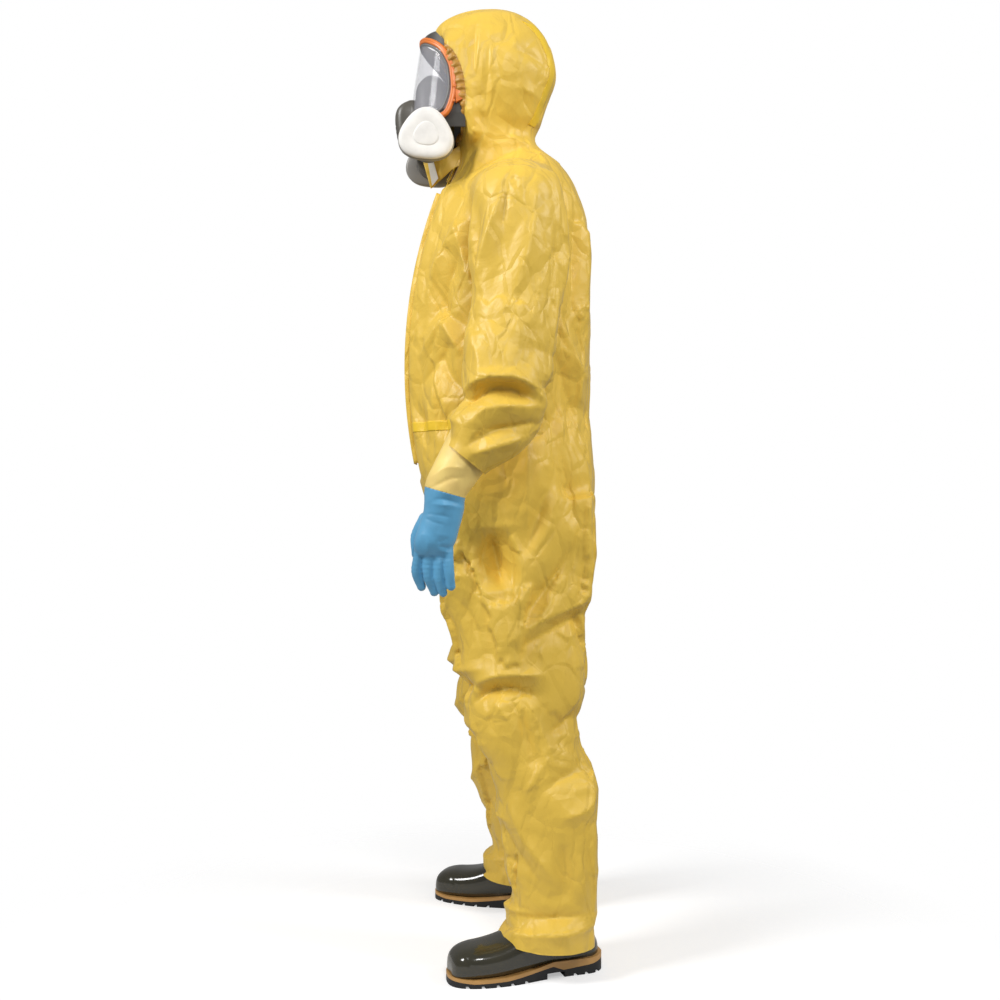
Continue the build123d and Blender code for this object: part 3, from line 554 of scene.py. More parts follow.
def facets(co, no, spacing, depth, bulge, stretch, seed, weight):
    """Crisp film folds into hollow facets with sharp ridges between them: the lowest of many tilted bowls."""
    random = np.random.default_rng(seed)
    low, high = np.array([-0.42, -0.24, -0.05]), np.array([0.42, 0.26, 1.92]) * np.array(stretch)
    counts = np.ceil((high - low) / spacing).astype(int)
    grid = np.stack(np.meshgrid(*(np.arange(n) for n in counts), indexing="ij"), -1).reshape(-1, 3)
    seeds = low + (grid + random.uniform(0.1, 0.9, grid.shape)) * spacing
    tilt = random.normal(0, 0.11, seeds.shape)
    level = random.uniform(-0.5, 0.5, len(seeds)) * depth
    tree = kdtree.KDTree(len(seeds))
    for i, p in enumerate(seeds):
        tree.insert(p, i)
    tree.balance()
    scaled = co * np.array(stretch)
    near = np.array([[found[1] for found in tree.find_n(p, 14)] for p in scaled])
    gap = scaled[:, None, :] - seeds[near]
    value = (level[near] + (gap * tilt[near]).sum(2) + bulge * (gap**2).sum(2)).min(1)
    value -= np.percentile(value, 70 if np.mean(weight) > 0 else 30)
    fall = (0.5 + 2.0 * smoothstep(co[:, 2], 0.33, 0.50) * (1 - smoothstep(co[:, 2], 1.50, 1.60))) * depth
    co += no * (np.clip(value, -fall, 2.2 * depth) * weight)[:, None]


def on_right(folds):
    return [(h, w, s, [(-x, z) for x, z in points]) for h, w, s, points in folds]


def fold_cloth(body, gain):
    co, no = points_of(body), normals_of(body)
    crumple(co, no, 0.17, 0.010, (1, 1, 0.7), 3.1, ridge=False)
    z = co[:, 2]
    co += no * (0.006 * (1 - smoothstep(z, 0.35, 0.80)))[:, None]
    loose = 0.36 + 0.74 * (1 - smoothstep(z, 0.55, 1.05)) + 0.25 * smoothstep(co[:, 1], 0.05, 0.15)
    loose = np.where(z > 1.56, 0.30, loose) * (1 - 0.8 * smoothstep(-no[:, 2], 0.35, 0.75))
    loose = loose * (0.35 + 0.65 * smoothstep(z, 0.08, 0.22))
    facets(co, no, 0.105, 0.0035, 0.40, (1.1, 1.1, 0.5), 4, 0.95 * loose)
    facets(co, no, 0.062, 0.0018, 0.36, (1.1, 1.1, 0.7), 9, -0.42 * loose)
    press_folds(co, no, SIDE_FOLDS, 1, 0, 1, gain=gain)
    press_folds(co, no, SIDE_FOLDS, 1, 0, -1, shift=(-14, 9), gain=gain * 0.9)
    press_folds(co, no, FRONT_FOLDS, 0, 1, -1, gain=gain)
    press_folds(co, no, on_right(FRONT_FOLDS), 0, 1, -1, shift=(6, -12), gain=gain)
    press_folds(co, no, BACK_FOLDS, 0, 1, 1, gain=gain * 0.5)
    press_folds(co, no, on_right(BACK_FOLDS), 0, 1, 1, shift=(8, 10), gain=gain * 0.5)
    set_points(body, co)
    relax = body.modifiers.new("relax", "SMOOTH")
    relax.factor, relax.iterations = 0.5, 4
    apply_modifiers(body)
    co = points_of(body)
    seat_limit = 0.178
    co[:, 1] -= 0.55 * np.maximum(co[:, 1] - seat_limit, 0)
    settle_front(co)
    clear_seal(co)
    set_points(body, co)


def settle_front(co):
    """Lay the cloth along the closure, and sink the slot where the zip lies."""
    x, z = np.abs(co[:, 0]), co[:, 2]
    limit = zip_front(z) + 0.0006 + 0.0056 * (1 - smoothstep(x, 0.0165, 0.0215))
    lay = (1 - smoothstep(x, 0.048, 0.085)) * smoothstep(z, 0.905, 0.925)
    lay = lay * (1 - smoothstep(z, 1.475, 1.50)) * (co[:, 1] < -0.03)
    co[:, 1] = co[:, 1] * (1 - lay) + limit * lay
    front = (co[:, 1] < 0) & (z > 0.925) & (z < 1.55) & (x < 0.055)
    co[front, 1] = np.maximum(co[front, 1], limit[front])


def clear_seal(co):
    """Carry the sides of the face opening round the outside of the mask's seal."""
    x, y, z = np.abs(co[:, 0]), co[:, 1], co[:, 2]
    rows = np.array(VISOR_ROWS, float) * MM
    wide = np.interp(z, rows[:, 0], rows[:, 3]) + 0.0045
    weight = smoothstep(-y, 0.005, 0.050) * smoothstep(z, 1.555, 1.585)
    weight = weight * (1 - smoothstep(z, 1.755, 1.795)) * smoothstep(x, 0.030, 0.060)
    co[:, 0] = np.sign(co[:, 0]) * np.where(x < wide, x + (wide - x) * weight, x)


def cut(bm, point, way, inside):
    """Cut the faces whose middle passes the test, along a plane."""
    faces = [f for f in bm.faces if inside(f.calc_center_median())]
    edges = {e for f in faces for e in f.edges}
    verts = {v for f in faces for v in f.verts}
    bmesh.ops.bisect_plane(bm, geom=[*verts, *edges, *faces], plane_co=point, plane_no=way, dist=1e-5)


def in_arm(c):
    return abs(c.x) > (0.1865 if c.z > 1.0 else 0.21) and 0.86 < c.z < 1.36


def open_and_mark(body):
    """Open the cuffs, hems and face, cut the skin where its pieces meet, and say which face is whose."""
    bm = bmesh.new()
    bm.from_mesh(body.data)
    up = Vector((0, 0, 1))
    for side in SIDES.values():
        cuff = Vector((CUFF.x * side, CUFF.y, CUFF.z))
        cut(bm, cuff, CUFF_WAY, lambda c: c.x * side > 0.21 and 0.86 < c.z < 1.0)
    cut(bm, HEM, HEM_WAY, lambda c: c.z < 0.12)
    for height, test in ((SLEEVE_TOP, lambda c: in_arm(c)), (SLEEVE_SPLIT, lambda c: in_arm(c)),
                         (LEG_TOP, lambda c: abs(c.x) < 0.22 and c.z < 0.9), (LEG_SPLIT, lambda c: c.z < 0.7),
                         (NECK, lambda c: c.z > 1.5)):
        cut(bm, Vector((0, 0, height)), up, test)
    edge = smooth_rows(FACE_EDGE, 2) * MM
    low = np.vstack([[-0.3, edge[0][1]], edge, [-0.3, edge[-1][1] + 0.022]])
    for a, b in zip(low, low[1:]):
        way = Vector((0, b[1] - a[1], -(b[0] - a[0]))).normalized()
        cut(bm, Vector((0, *a)), way, lambda c: c.z > 1.57 and c.y < -0.02)
    drop, label = [], bm.faces.layers.int.new("piece")
    for f in bm.faces:
        c = f.calc_center_median()
        side = 1 if c.x > 0 else -1
        cuff = Vector((CUFF.x * side, CUFF.y, CUFF.z))
        if c.z < 0.12 and (c - HEM).dot(HEM_WAY) > 0:
            drop.append(f)
        elif abs(c.x) > 0.21 and 0.86 < c.z < 1.0 and (c - cuff).dot(CUFF_WAY) > 0:
            drop.append(f)
        elif c.z > 1.57 and all((b[1] - a[1]) * (c.y - a[0]) - (b[0] - a[0]) * (c.z - a[1]) < 0 for a,
                                b in zip(low, low[1:])):
            drop.append(f)
        elif c.z > NECK:
            f[label] = 1
        elif in_arm(c) and c.z < SLEEVE_TOP:
            f[label] = (2 if c.z > SLEEVE_SPLIT else 3) * side
        elif c.z < LEG_TOP and abs(c.x) < 0.3:
            f[label] = (4 if c.z > LEG_SPLIT else 5) * side
    bmesh.ops.delete(bm, geom=drop, context="FACES")
    bm.to_mesh(body.data)
    bm.free()
    body.data.update()
    store = body.data.attributes.new("whole_normal", "FLOAT_VECTOR", "POINT")
    store.data.foreach_set("vector", normals_of(body).ravel())


def take(body, name, label):
    """One piece of the skin, with the shading of the whole."""
    bm = bmesh.new()
    bm.from_mesh(body.data)
    layer = bm.faces.layers.int["piece"]
    bmesh.ops.delete(bm, geom=[f for f in bm.faces if f[layer] != label], context="FACES")
    mesh = bpy.data.meshes.new(name)
    bm.to_mesh(mesh)
    bm.free()
    obj = bpy.data.objects.new(name, mesh)
    bpy.context.scene.collection.objects.link(obj)
    shade_smooth(obj)
    values = np.empty(len(mesh.vertices) * 3)
    mesh.attributes["whole_normal"].data.foreach_get("vector", values)
    mesh.normals_split_custom_set_from_vertices(values.reshape(-1, 3).tolist())
    return obj


def make_coverall():
    settings = bpy.context.scene.suit_coverall
    body = body_skin(settings.cell * (1))
    body = subdivide(body, 1)
    fold_cloth(body, settings.fold_depth)
    open_and_mark(body)
    fabric = coated_fabric("coated fabric", tuple(settings.colour))
    trunk = take(body, "coverall_trunk", 0)
    hood = take(body, "hood", 1)
    give(trunk, fabric)
    give(hood, fabric)
    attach(trunk, "suit_body")
    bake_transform(hood)
    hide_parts("torso_back", "torso_front_left", "torso_front_right", "shoulder_left", "shoulder_right",
                "waist_elastic", "seat_front", "seat_back")
    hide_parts("hood_centre", "hood_left", "hood_right", "face_elastic")
    for word, side in SIDES.items():
        for label, name, a, b, (start, end) in (
                (2, "sleeve_upper", "suit_body", "upper_arm", SHOULDER_BEND),
                (3, "sleeve_lower", "upper_arm", "forearm", ELBOW_BEND),
                (4, "leg_upper", "suit_body", "thigh", HIP_BEND), (5, "leg_lower", "thigh", "shin", KNEE_BEND)):
            obj = take(body, f"{name}_{word}_cloth", label * side)
            give(obj, fabric)
            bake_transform(obj)
            extra = [f"cuff_elastic_{word}"] if name == "sleeve_lower" else []
            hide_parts(f"{name}_{word}", *extra)
    bpy.data.objects.remove(body)
    tape = coated_fabric("welded tape", tuple(settings.tape), 0.3)
    hem = face_hem(hood)
    # Hem colour is painted shade: a darker orange-brown than the fabric, standing in for the shadow inside the
    # gathered frill.
    give(hem, coated_fabric("gathered hem painted shade", (0.46, 0.235, 0.035), 0.3))
    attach(hem, "hood")
    for word, side in SIDES.items():
        strip = strip_of(hood, f"hood_tape_{word}", 0.0007, ((56 * side, 0, 0), (side, 0, 0)),
                         ((34 * side, 0, 0), (-side, 0, 0)),
                         ((0, 4, 0), (0, -1, 0)), ((0, 0, 1604), (0, 0, -1)), ((0, 0, 1806), (0, 0, 1)))
        give(strip, tape)
        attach(strip, "hood")
        band = strip_of(trunk, f"waist_tape_{word}", 0.0007, ((46 * side, 0, 0), (-side, 0, 0)),
                        ((0, 10, 0), (0, 1, 0)),
                        ((0, 0, 1001), (0, 0, -1)), ((0, 0, 1020), (0, 0, 1)))
        give(band, tape)
        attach(band, "suit_body")
    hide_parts("hood_seam_tapes")
    for name, low, high, length in (("storm_flap_upper", 4.76, 20.8, 0.271),
                                    ("storm_flap_lower", -11.3, 4.7, 0.270)):
        flap = flap_sheet(name + "_cloth", low, high)
        give(flap, fabric)
        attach(flap, name)
        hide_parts(name)
    make_flap_base(fabric)
    make_chin_flap(fabric)


def strip_of(source, name, offset, *planes):
    """A tape that lies on a piece of cloth: a copy of its faces between planes, lifted off them."""
    bm = bmesh.new()
    bm.from_mesh(source.data)
    bm.normal_update()
    for point, way in planes:
        bmesh.ops.bisect_plane(bm, geom=[*bm.verts, *bm.edges, *bm.faces], plane_co=Vector(point) * MM,
                               plane_no=way, dist=1e-5, clear_outer=True)
    bm.normal_update()
    for v in bm.verts:
        v.co += v.normal * offset
    mesh = bpy.data.meshes.new(name)
    bm.to_mesh(mesh)
    bm.free()
    obj = bpy.data.objects.new(name, mesh)
    bpy.context.scene.collection.objects.link(obj)
    thick = obj.modifiers.new("thickness", "SOLIDIFY")
    thick.thickness = 0.0008
    thick.offset = -1
    apply_modifiers(obj)
    shade_smooth(obj)
    return obj


def face_hem(hood):
    """The elastic hem of the face opening: a gathered roll, drawn from the opening's edge."""
    bm = bmesh.new()
    bm.from_mesh(hood.data)
    bm.normal_update()
    rim = [e for e in bm.edges if e.is_boundary and all(v.co.z > 1.58 for v in e.verts)]
    rim_verts = {v for e in rim for v in e.verts}
    start = min(rim_verts, key=lambda v: (v.co.z, v.co.x))
    order, seen, here = [start], {start}, start
    rim_edges = set(rim)
    while True:
        following = [e.other_vert(here) for e in here.link_edges
                     if e in rim_edges and e.other_vert(here) not in seen]
        if not following:
            break
        here = following[0]
        seen.add(here)
        order.append(here)
    places = np.array([v.co[:] for v in order])
    normals = np.array([v.normal[:] for v in order])
    bm.free()
    count = 720
    steps = np.linalg.norm(np.roll(places, -1, 0) - places, axis=1)
    run = np.concatenate([[0], np.cumsum(steps)])
    at = np.linspace(0, run[-1], count, endpoint=False)
    closed, closed_normals = np.vstack([places, places[:1]]), np.vstack([normals, normals[:1]])
    path = np.column_stack([np.interp(at, run, closed[:, i]) for i in range(3)])
    out = np.column_stack([np.interp(at, run, closed_normals[:, i]) for i in range(3)])
    for _ in range(30):
        out = (np.roll(out, 1, 0) + out + np.roll(out, -1, 0)) / 3
    out /= np.linalg.norm(out, axis=1)[:, None]
    tangent = np.roll(path, -1, 0) - np.roll(path, 1, 0)
    ahead = np.cross(tangent, out)
    ahead /= np.linalg.norm(ahead, axis=1)[:, None]
    ahead *= -np.sign(ahead[:, 1:2].sum() or 1)
    ruffle = np.array([noise.noise(Vector((a * 95, 0.3, 0))) + 0.6 * noise.noise(Vector((a * 210, 4.3, 0)))
                       for a in at])
    section = [(-6, 0.4, 0.5), (-3.0, 2.4, 2.2), (0.5, 2.6, 3.4), (4.5, 1.2, 3.4), (8.0, -0.4, 2.8),
               (11.0, -1.6, 2.4),
               (12.5, -3.2, 1.6), (11.0, -5.0, 1.4), (5.0, -6.0, 1.2), (-1.0, -6.5, 0.8)]
    frill = np.sign(np.sin(at * 2 * math.pi / 0.0155)) * np.abs(np.sin(at * 2 * math.pi / 0.0155)) ** 0.6
    ruffle = 0.45 * ruffle + 0.5 * frill
    bm = bmesh.new()
    loops = []
    for forward, lift, wave in section:
        made = bmesh.ops.create_circle(bm, segments=count, radius=1.0)
        for i, v in enumerate(made["verts"]):
            v.co = path[i] + (ahead[i] * forward + out[i] * (lift + wave * ruffle[i])) * MM
        loops.append(list(dict.fromkeys(e for v in made["verts"] for e in v.link_edges)))
    for low, high in zip(loops, loops[1:]):
        bmesh.ops.bridge_loops(bm, edges=low + high)
    obj = object_from(bm, "face_hem")
    shade_smooth(obj)
    return obj


def flap_sheet(name, low, high, thickness=1.8):
    """One length of the storm flap: a sheet on the closure's arc, a little wavy."""
    bm = bmesh.new()
    bmesh.ops.create_grid(bm, x_segments=24, y_segments=max(20, int((high - low) * 6)), size=0.5)
    for v in bm.verts:
        x = -34 + 72 * (v.co.x + 0.5)
        angle = math.radians(low + (high - low) * (v.co.y + 0.5))
        lift = 6.6 + 1.1 * max(0.0, noise.noise(Vector((x / 40, angle * 26, 0)))) * min(1.0, (38 - x) / 12)
        reach = ZIP_RADIUS + lift * MM
        v.co = Vector((x * MM, ZIP_CENTRE[0] - reach * math.cos(angle),
                       ZIP_CENTRE[1] + reach * math.sin(angle)))
    obj = object_from(bm, name)
    if sum(p.normal.y for p in obj.data.polygons) > 0:
        obj.data.flip_normals()
    thick = obj.modifiers.new("thickness", "SOLIDIFY")
    thick.thickness = thickness * MM
    thick.offset = 1
    apply_modifiers(obj)
    shade_smooth(obj)
    return obj


def make_flap_base(fabric):
    """The sewn edge of the flap, rising from the chest."""
    bm = bmesh.new()
    loops = []
    for degrees in np.linspace(-11.3, 20.8, 80):
        angle = math.radians(degrees)
        points = [(46.5, -6), (45.2, 1), (44, 6), (42, 8.2), (39.4, 8.4), (39, 6), (39, -6)]
        made = bmesh.ops.create_circle(bm, segments=len(points), radius=1.0)
        for (x, lift), v in zip(points, made["verts"]):
            reach = ZIP_RADIUS + lift * MM
            v.co = Vector((x * MM, ZIP_CENTRE[0] - reach * math.cos(angle),
                           ZIP_CENTRE[1] + reach * math.sin(angle)))
        loops.append(list({e for v in made["verts"] for e in v.link_edges}))
    for low, high in zip(loops, loops[1:]):
        bmesh.ops.bridge_loops(bm, edges=low + high)
    bmesh.ops.holes_fill(bm, edges=loops[0] + loops[-1], sides=0)
    obj = object_from(bm, "flap_base")
    shade_smooth(obj)
    give(obj, fabric)
    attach(obj, "suit_body")
    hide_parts("storm_flap_base")


def make_chin_flap(fabric):
    """The flap that closes over the chin, hanging open: a soft sheet between two edges."""
    top = smooth_rows([(-70, 1580), (-94, 1562), (-122, 1550), (-148, 1545)], 8)
    low = smooth_rows([(-74, 1536), (-92, 1524), (-112, 1507), (-132, 1488)], 8)
    bm = bmesh.new()
    bmesh.ops.create_grid(bm, x_segments=len(top) - 1, y_segments=16, size=0.5)
    for v in bm.verts:
        i, t = round((v.co.x + 0.5) * (len(top) - 1)), v.co.y + 0.5
        y, z = low[i] * (1 - t) + top[i] * t
        u = i / (len(top) - 1)
        x = 14.7 + 5.0 * math.sin(math.pi * u) * (t - 0.35) + 2.5 * noise.noise(Vector((u * 3, t * 2, 1.7)))
        v.co = Vector((x, y, z)) * MM
    obj = object_from(bm, "chin_flap_cloth")
    thick = obj.modifiers.new("thickness", "SOLIDIFY")
    thick.thickness = 0.0014
    thick.offset = 0
    soft = obj.modifiers.new("soft", "SUBSURF")
    soft.levels = soft.render_levels = 1
    apply_modifiers(obj)
    shade_smooth(obj)
    give(obj, fabric)
    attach(obj, "chin_flap")
    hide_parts("chin_flap")


class SUIT_OT_coverall(bpy.types.Operator):
    """Build the coverall"""
    bl_idname = "suit.coverall"
    bl_label = "Coverall"

    def execute(self, context):
        make_coverall()
        return {"FINISHED"}


# ---------------------------------------------------------------- respirator
# the frame's middle line: degrees from the front, height
FRAME_LINE = [(0, 1628), (25, 1625), (48, 1617), (66, 1612), (78, 1619), (84, 1640), (86.5, 1663), (85.5, 1687),
              (81, 1717), (65, 1750), (34, 1773), (0, 1779)]


def visor_point(degrees, z, out=0.0):
    """A point on the visor's curve, some millimetres out from it, with its outward direction."""
    rows = np.array(VISOR_ROWS, float)
    front, back, half = (np.interp(z, rows[:, 0], rows[:, i]) for i in (1, 2, 3))
    angle = math.radians(degrees)
    half_y = (back - front) / 2
    place = Vector((half * math.sin(angle), (front + back) / 2 - half_y * math.cos(angle), z))
    way = Vector((math.sin(angle) / half, -math.cos(angle) / half_y, 0)).normalized()
    return (place + way * out) * MM, way


def sweep(bm, path, ways, section, closed=True):
    """Carry a closed section, (across, out) in millimetres, along a path with outward directions."""
    loops = []
    for i, (place, way) in enumerate(zip(path, ways)):
        before = path[i - 1 if closed or i else i]
        after = path[(i + 1) % len(path) if closed or i < len(path) - 1 else i]
        across = (after - before).cross(way).normalized()
        made = bmesh.ops.create_circle(bm, segments=len(section), radius=1.0)
        for v, (side, out) in zip(made["verts"], section):
            v.co = place + across * (side * MM) + way * (out * MM)
        loops.append(list({e for v in made["verts"] for e in v.link_edges}))
    for low, high in zip(loops, loops[1:] + (loops[:1] if closed else [])):
        bmesh.ops.bridge_loops(bm, edges=low + high)
    if not closed:
        bmesh.ops.holes_fill(bm, edges=loops[0] + loops[-1], sides=0)


def frame_path(rows):
    """A closed loop on the visor's curve, through one side's rows and back through the other's."""
    half = smooth_rows(rows, 8)
    both = [*half, *[(-a, z) for a, z in half[-2:0:-1]]]
    made = [visor_point(a, z) for a, z in both]
    return [p for p, _ in made], [w for _, w in made]


def finish_piece(obj, material, body, *nodes, bevel=0.0, levels=0):
    """Soften a piece's edges, give it its finish and hang it on its body in place of CAD nodes."""
    if bevel:
        soft = obj.modifiers.new("bevel", "BEVEL")
        soft.width, soft.segments = bevel * MM, 3
        soft.limit_method, soft.angle_limit = "ANGLE", math.radians(40)
    if levels:
        sub = obj.modifiers.new("soft", "SUBSURF")
        sub.levels = sub.render_levels = levels
    if bevel or levels:
        apply_modifiers(obj)
    shade_smooth(obj)
    give(obj, material)
    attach(obj, body)
    if nodes:
        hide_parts(*nodes)


def make_visor():
    """The clear window, its sides reaching to the frame's line."""
    bm = bmesh.new()
    limit = sorted((z, a) for a, z in FRAME_LINE if z > 1610)[2:]
    heights, reach = zip(*limit)
    bottom, tall, lower_reach = 1626, 155, 84
    bmesh.ops.create_grid(bm, x_segments=56, y_segments=40, size=0.5)
    for v in bm.verts:
        z = bottom + tall * (v.co.y + 0.5)
        edge = np.interp(z, heights, reach) if z > 1640 else lower_reach
        v.co = visor_point(v.co.x * 2 * edge, z)[0]
    obj = object_from(bm, "visor_window")
    thick = obj.modifiers.new("thickness", "SOLIDIFY")
    thick.thickness = 0.002
    thick.offset = 0
    apply_modifiers(obj)
    m = Nodes("polycarbonate", (0.72, 0.72, 0.78), 0.06, Alpha=0.20, Specular_IOR_Level=0.4, Coat_Weight=0.12,
              Coat_Roughness=0.08)
    m.roughness_from(m.noise(30, 5.0), 0.04, 0.10)
    m.bump(m.noise(7, 2.0), 0.05, 0.004)
    finish_piece(obj, m.material, "mask", "visor")


def make_frame(orange, rubber):
    """The frame with a lug and two screws on each side, and the gasket inside it."""
    path, ways = frame_path(FRAME_LINE)
    section = [(-5.4, -2.6), (-5.4, 1.6), (-4.4, 3.4), (-2.2, 4.2), (0.2, 3.6), (1.2, 4.4), (3.8, 3.9),
               (5.2, 2.2), (5.5, -2.6)]
    bm = bmesh.new()
    sweep(bm, path, ways, section)
    for side in SIDES.values():
        place = visor_point(87 * side, 1651)[0]
        made = bmesh.ops.create_cube(bm, size=1.0)
        for v in made["verts"]:
            narrow = 1.0 if v.co.y < 0 else 0.45
            v.co = place + Vector((v.co.x * 9, v.co.y * 15 + 11, v.co.z * 26 * narrow - 1.5)) * MM
        for z in (1640, 1668):
            place, way = visor_point(87 * side, z, 5.0)
            made = bmesh.ops.create_cone(bm, cap_ends=True, segments=20, radius1=0.0032, radius2=0.0026,
                                         depth=0.003)
            turn = way.to_track_quat("Z", "Y").to_matrix().to_4x4()
            for v in made["verts"]:
                v.co = place + turn @ v.co
    obj = object_from(bm, "frame_shell")
    finish_piece(obj, orange, "mask", "visor_frame_upper", "visor_frame_lower", bevel=0.8)
    path, ways = frame_path([(max(0, a - 6.0), 1705 + (z - 1705) * 0.905) for a, z in FRAME_LINE])
    bm = bmesh.new()
    sweep(bm, path, ways, [(-2.6, -2.2), (-2.6, 0.9), (0, 2.2), (2.6, 2.4), (2.6, -2.2)])
    finish_piece(object_from(bm, "visor_gasket"), rubber, "mask", levels=1)


def make_mask_body(grey, dark, cup):
    """Chin housing with its two ports, the valve cover with louvres, and the inner nose cup."""
    chin = [(1553, -148, -106, 32), (1560, -160, -101, 46), (1572, -167, -97, 60), (1586, -173, -92, 72),
            (1604, -175, -90, 79),
            (1622, -173, -90, 80)]
    bm = bmesh.new()
    tube(bm, level_rings([(*row, 0) for row in chin], 3), power=0.86)
    for side in SIDES.values():
        for radius, low, high in ((29, 40, 86), (25, 84, 95.4)):
            made = bmesh.ops.create_cone(bm, cap_ends=True, segments=48, radius1=radius * MM,
                                         radius2=radius * MM,
                                         depth=(high - low) * MM)
            at = Matrix.Translation(Vector((side * (low + high) / 2, -135, 1561)) * MM)
            turn = at @ Matrix.Rotation(math.pi / 2, 4, "Y")
            for v in made["verts"]:
                v.co = turn @ v.co
    housing = fuse(object_from(bm, "chin_housing"), 0.0024, 4)
    finish_piece(housing, grey, "mask", "mask_body")
    bm = bmesh.new()
    cover = [(1563, -183, -150, 26), (1570, -192, -150, 30), (1590, -199, -150, 33), (1618, -203, -150, 34),
             (1640, -202, -152, 34),
             (1654, -193, -155, 31), (1662, -176, -158, 28)]
    tube(bm, level_rings([(*row, 0) for row in cover], 3), segments=44, power=0.62)
    cover = fuse(object_from(bm, "valve_housing"), 0.0022, 3)
    co = points_of(cover)
    groove = (np.abs(co[:, 0]) < 0.023) & (co[:, 1] < -0.185) & (co[:, 2] > 1.576) & (co[:, 2] < 1.622)
    co[groove, 1] += 0.0042 * smoothstep(np.sin((co[groove, 2] - 1.576) * 2 * math.pi / 0.0092), 0.0, 0.7)
    set_points(cover, co)
    finish_piece(cover, dark, "mask", "valve_cover", "valve_seat")
    bm = bmesh.new()
    nose = [(1717, -139, -120, 9), (1708, -150, -110, 20), (1692, -160, -98, 33), (1668, -163, -90, 42),
            (1640, -163, -86, 47),
            (1612, -161, -86, 49), (1598, -158, -86, 49)]
    tube(bm, level_rings([(*row, 0) for row in nose[::-1]], 3), power=0.72, caps=True)
    nose = fuse(object_from(bm, "nose_cup_rubber"), 0.0026, 4)
    finish_piece(nose, cup, "mask", "nose_cup")


# filter outlines: distance from the mask's middle, size of the outline
FILTER_FACE = [(93, 0.80), (94.5, 0.93), (96.5, 0.985), (100, 1.0), (105, 1.0), (107, 1.03), (110, 1.03),
               (112, 0.99), (113.6, 0.94), (114.6, 0.86), (115.0, 0.74), (114.7, 0.60), (114.2, 0.50),
               (114.0, 0.47), (114.9, 0.455), (115.2, 0.43), (115.3, 0.25), (115.3, 0.04)]
FILTER_RIM = [(92, 0.6), (92.2, 0.98), (94, 1.045), (98, 1.06), (102, 1.05), (103.5, 1.02)]


def filter_rings(bm, profile, side):
    """Bridge rounded three-cornered outlines one after another, and return the end rings."""
    loops = []
    for x, size in profile:
        made = bmesh.ops.create_circle(bm, segments=96, radius=1.0)
        for v in made["verts"]:
            angle = math.atan2(v.co.y, v.co.x)
            corners = 3.8 * math.cos(3 * (angle - math.radians(86))) + 1.2 * math.cos(2 * angle + 0.6)
            reach = (49.0 + corners) * size
            v.co = Vector((x * side, -135.5 + reach * math.cos(angle), 1568.5 + reach * math.sin(angle))) * MM
        loops.append(list({e for v in made["verts"] for e in v.link_edges}))
    for low, high in zip(loops, loops[1:]):
        bmesh.ops.bridge_loops(bm, edges=low + high)
    return loops[0] + loops[-1]


def make_filters(shell, grey):
    for word, side in SIDES.items():
        bm = bmesh.new()
        ends = filter_rings(bm, FILTER_FACE, side)
        bmesh.ops.holes_fill(bm, edges=ends, sides=0)
        finish_piece(object_from(bm, f"filter_shell_{word}"), shell, f"filter_{word}",
                     f"filter_body_{word}", f"filter_retainer_{word}", f"filter_pad_{word}")
        bm = bmesh.new()
        filter_rings(bm, FILTER_RIM, side)
        finish_piece(object_from(bm, f"filter_carrier_{word}"), grey, f"filter_{word}")


def make_harness(strap):
    """Two straps round the back of the head, and the plate between them."""
    bm = bmesh.new()
    for centre_y, half_y, z, tilt, start in ((6, 74, 1655, 0, -60), (-12, 96, 1722, 18, -88)):
        path, ways = [], []
        for step in range(61):
            angle = math.radians(-58 + 296 * step / 60)
            x, y = 79 * math.cos(angle), centre_y + (half_y - 3) * math.sin(angle)
            if y < start:
                continue
            path.append(Vector((x, y, z - math.tan(math.radians(tilt)) * (y - centre_y))) * MM)
            ways.append(Vector((math.cos(angle), math.sin(angle), 0)))
        sweep(bm, path, ways, [(-8, -0.8), (8, -0.8), (8, 0.8), (-8, 0.8)], closed=False)
    made = bmesh.ops.create_cube(bm, size=1.0)
    for v in made["verts"]:
        v.co = Vector((v.co.x * 46, v.co.y * 2.2 + 78, v.co.z * 60 + 1682)) * MM
    obj = object_from(bm, "harness_straps")
    shade_smooth(obj)
    give(obj, strap)
    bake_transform(obj)
    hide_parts("head_harness")


def make_respirator():
    settings = bpy.context.scene.suit_respirator
    grey = moulded("mask grey", tuple(settings.body_colour), 0.42)
    dark = moulded("cover grey", shade(tuple(settings.body_colour), 0.85), 0.36)
    rubber = moulded("seal rubber", (0.17, 0.17, 0.165), 0.5)
    cup = moulded("cup rubber", (0.085, 0.08, 0.07), 0.5, Subsurface_Weight=0.0)
    orange = moulded("frame orange", tuple(settings.frame_colour), 0.34)
    white = moulded("filter shell", (0.86, 0.84, 0.80), 0.5, 260, 0.2)
    make_visor()
    make_frame(orange, rubber)
    make_mask_body(grey, dark, cup)
    make_filters(white, moulded("carrier grey", (0.30, 0.285, 0.26), 0.35))
    make_harness(moulded("strap black", (0.03, 0.03, 0.03), 0.7, 900, 0.3))


class SUIT_OT_respirator(bpy.types.Operator):
    """Build the respirator"""
    bl_idname = "suit.respirator"
    bl_label = "Respirator"

    def execute(self, context):
        make_respirator()
        return {"FINISHED"}


# ---------------------------------------------------------------- gloves
# rings: x, y, z, half width, half depth, tilt in degrees
GAUNTLET = [(300, -38, 985, 43, 42, 30), (304, -50, 958, 44, 43, 29), (307, -62, 935, 43, 42, 28),
            (311, -78, 908, 41, 40, 23),
            (314, -88, 888, 38, 38, 16), (315, -91, 872, 35, 36, 11), (316, -92, 852, 31, 35, 4),
            (317, -99, 826, 28, 36, 0),
            (318, -107, 800, 26, 37, 0), (319, -111, 784, 20, 33, 0), (320, -111, 772, 12, 26, 0)]
GLOVE_LINE = (Vector((314, -89, 882)), Vector((0, -0.276, -0.961)))
